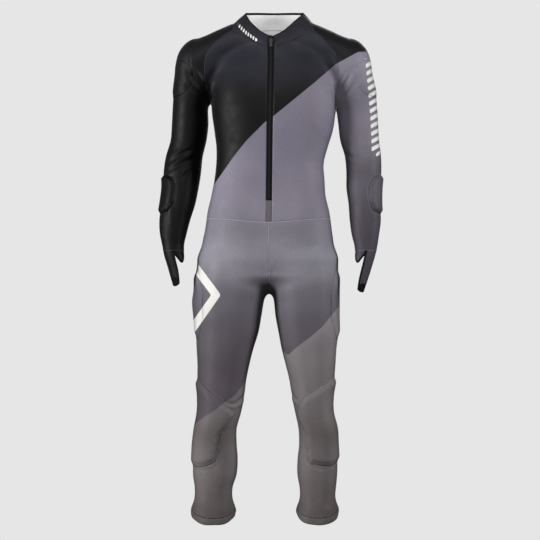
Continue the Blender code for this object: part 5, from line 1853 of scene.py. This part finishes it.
for side in SIDES:
    beside_edge("front_" + side, "first", "body")
    along_edge("front_" + side, "last", "body")
    along_edge("front_" + side, "bottom", "body")
    along_edge("sleeve_" + side, "last", "sleeve_" + side)
    for which in ("first", "last"):
        along_edge("leg_front_" + side, which, "leg_" + side)
    for word in ("front", "back"):
        beside_edge("leg_%s_%s" % (word, side), "bottom", "leg_" + side)
along_edge("back", "bottom", "body")
along_edge("leg_back_right", "first", "leg_right")
crossing_row(collar[0] + 0.0003 * collar_out[0], collar_out[0], "collar")
stitch_row(collar[-4] + 0.0003 * collar_out[-4], collar_out[-4], "collar")


def pad_outline(name, side, part, offset):
    """Stitches round a pad, a little outside it."""
    grid, out = GRIDS[name + "_pad_" + side]
    line = np.concatenate([grid[0], grid[1:, -1], grid[-1, -2::-1], grid[-2::-1, 0]])
    normals = np.concatenate([out[0], out[1:, -1], out[-1, -2::-1], out[-2::-1, 0]])
    middle = grid.mean(axis=(0, 1))
    way = np.gradient(line, axis=0)
    across = np.cross(way, normals)
    across /= np.maximum(np.linalg.norm(across, axis=1, keepdims=True), 1e-9)
    if ((line - middle) * across).sum() < 0:
        across = -across
    line = onto_figure(line + offset * across, rounds=3)
    normals = outward(line)
    lift = relief(line, normals)
    stitch_row(line + (lift + 0.0002)[:, None] * normals, normals, part)


for side in SIDES:
    pad_outline("knee", side, "leg_" + side, 0.004)
    pad_outline("forearm", side, "sleeve_" + side, 0.005)
    pad_outline("shoulder", side, "sleeve_" + side, 0.004)
    pad_outline("thigh", side, "leg_" + side, 0.004)

CROTCH_COVER_Z = -0.655


def seam_cover(name, line, out, finish, half=0.0012):
    """A flat row of thread that covers the gap of a seam."""
    tube_piece("seam_" + name, line + 0.0002 * out, out, half, 0.0004, finish, 8)


for side in SIDES:
    grid, out = GRIDS["leg_front_" + side]
    placed = grid + relief(grid, out)[..., None] * out
    seam_cover("waist_" + side, placed[0], out[0], SEAM_GREY)
    grid, out = GRIDS["sleeve_" + side]
    first, end = FLAP_COLUMNS[0] * FINER, TONGUE_COLUMNS[1] * FINER + 1
    finish = CUFF_BLACK if side == "right" else SHADED_CUFF_GREY
    seam_cover("cuff_" + side, grid[-1, first:end], out[-1, first:end], finish, 0.0020)
grid, out = GRIDS["leg_front_right"]
edge = np.s_[:, 0] if abs(grid[:, 0, 0]).mean() < abs(grid[:, -1, 0]).mean() else np.s_[:, -1]
placed = grid + relief(grid, out)[..., None] * out
rows = placed[edge][:, 2] > CROTCH_COVER_Z
seam_cover("centre", placed[edge][rows], out[edge][rows], SEAM_GREY, 0.0012)

STITCH_FACES = np.array([(0, 2, 4), (2, 1, 4), (1, 3, 4), (3, 0, 4), (0, 3, 1, 2)], dtype=object)
for colour, finish in (("blue", BLUE_THREAD), ("grey", GREY_THREAD)):
    five = np.concatenate(threads[colour])
    faces = [[5 * k + v for v in face] for k in range(len(five)) for face in STITCH_FACES]
    piece = add_piece("thread_" + colour, five.reshape(-1, 3), faces, [finish])
    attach(piece, "root")
    print(colour, "stitches", len(five))

# %% [markdown]
# A pale floor and an even pale surrounding, with a large soft light in front and a
# little above. The surrounding looks pale but gives less light than it shows, so that
# the sides of the suit turn dark, as they do under one frontal light. The knit's
# material darkens them further with painted shade.

# %% Floor and light
def emission_material(name, colour):
    made = bpy.data.materials.new(name)
    made.use_nodes = True
    tree = made.node_tree
    tree.nodes.clear()
    glow = add_node(tree, "ShaderNodeEmission")
    glow.inputs["Color"].default_value = (*colour, 1)
    end = add_node(tree, "ShaderNodeOutputMaterial")
    tree.links.new(glow.outputs["Emission"], end.inputs["Surface"])
    return made


PALE = 0.791
FLOOR_Z = -1.56
floor = add_piece("floor", [(-40, -40, FLOOR_Z), (40, -40, FLOOR_Z), (40, 40, FLOOR_Z),
                            (-40, 40, FLOOR_Z)], [[0, 1, 2, 3]],
                  [emission_material("pale floor", (PALE, PALE, PALE))])
floor.visible_diffuse = False
floor.visible_glossy = False

world = bpy.data.worlds.new("studio")
bpy.context.scene.world = world
world.use_nodes = True
tree = world.node_tree
background = tree.nodes["Background"]
background.inputs["Color"].default_value = (1, 1, 1, 1)
path = add_node(tree, "ShaderNodeLightPath")
strength = ranged(tree, path.outputs["Is Camera Ray"], 0, 1, 0.05, PALE)
tree.links.new(strength, background.inputs["Strength"])


def area_light(name, place, target, size, power):
    data = bpy.data.lights.new(name, "AREA")
    data.energy = power
    data.shape = "RECTANGLE"
    data.size, data.size_y = size
    lamp = bpy.data.objects.new(name, data)
    bpy.context.scene.collection.objects.link(lamp)
    lamp.location = place
    lamp.rotation_euler = (Vector(target) - Vector(place)).to_track_quat("-Z", "Y").to_euler()


area_light("left", (-3.5, -1.8, -0.3), (0, 0, -0.65), (1.0, 2.6), 200)
area_light("right", (3.7, -1.4, 0.45), (0, 0, -0.35), (0.9, 1.5), 140)
area_light("front", (0.0, -3.8, 0.3), (0, 0, -0.6), (1.2, 1.6), 30)
area_light("top", (0.0, -1.9, 1.35), (0, 0, 0.0), (0.8, 0.6), 17)
area_light("back", (0.6, 3.4, 1.2), (0, 0, -0.6), (2.0, 2.0), 60)
bpy.context.scene.view_settings.view_transform = "Standard"
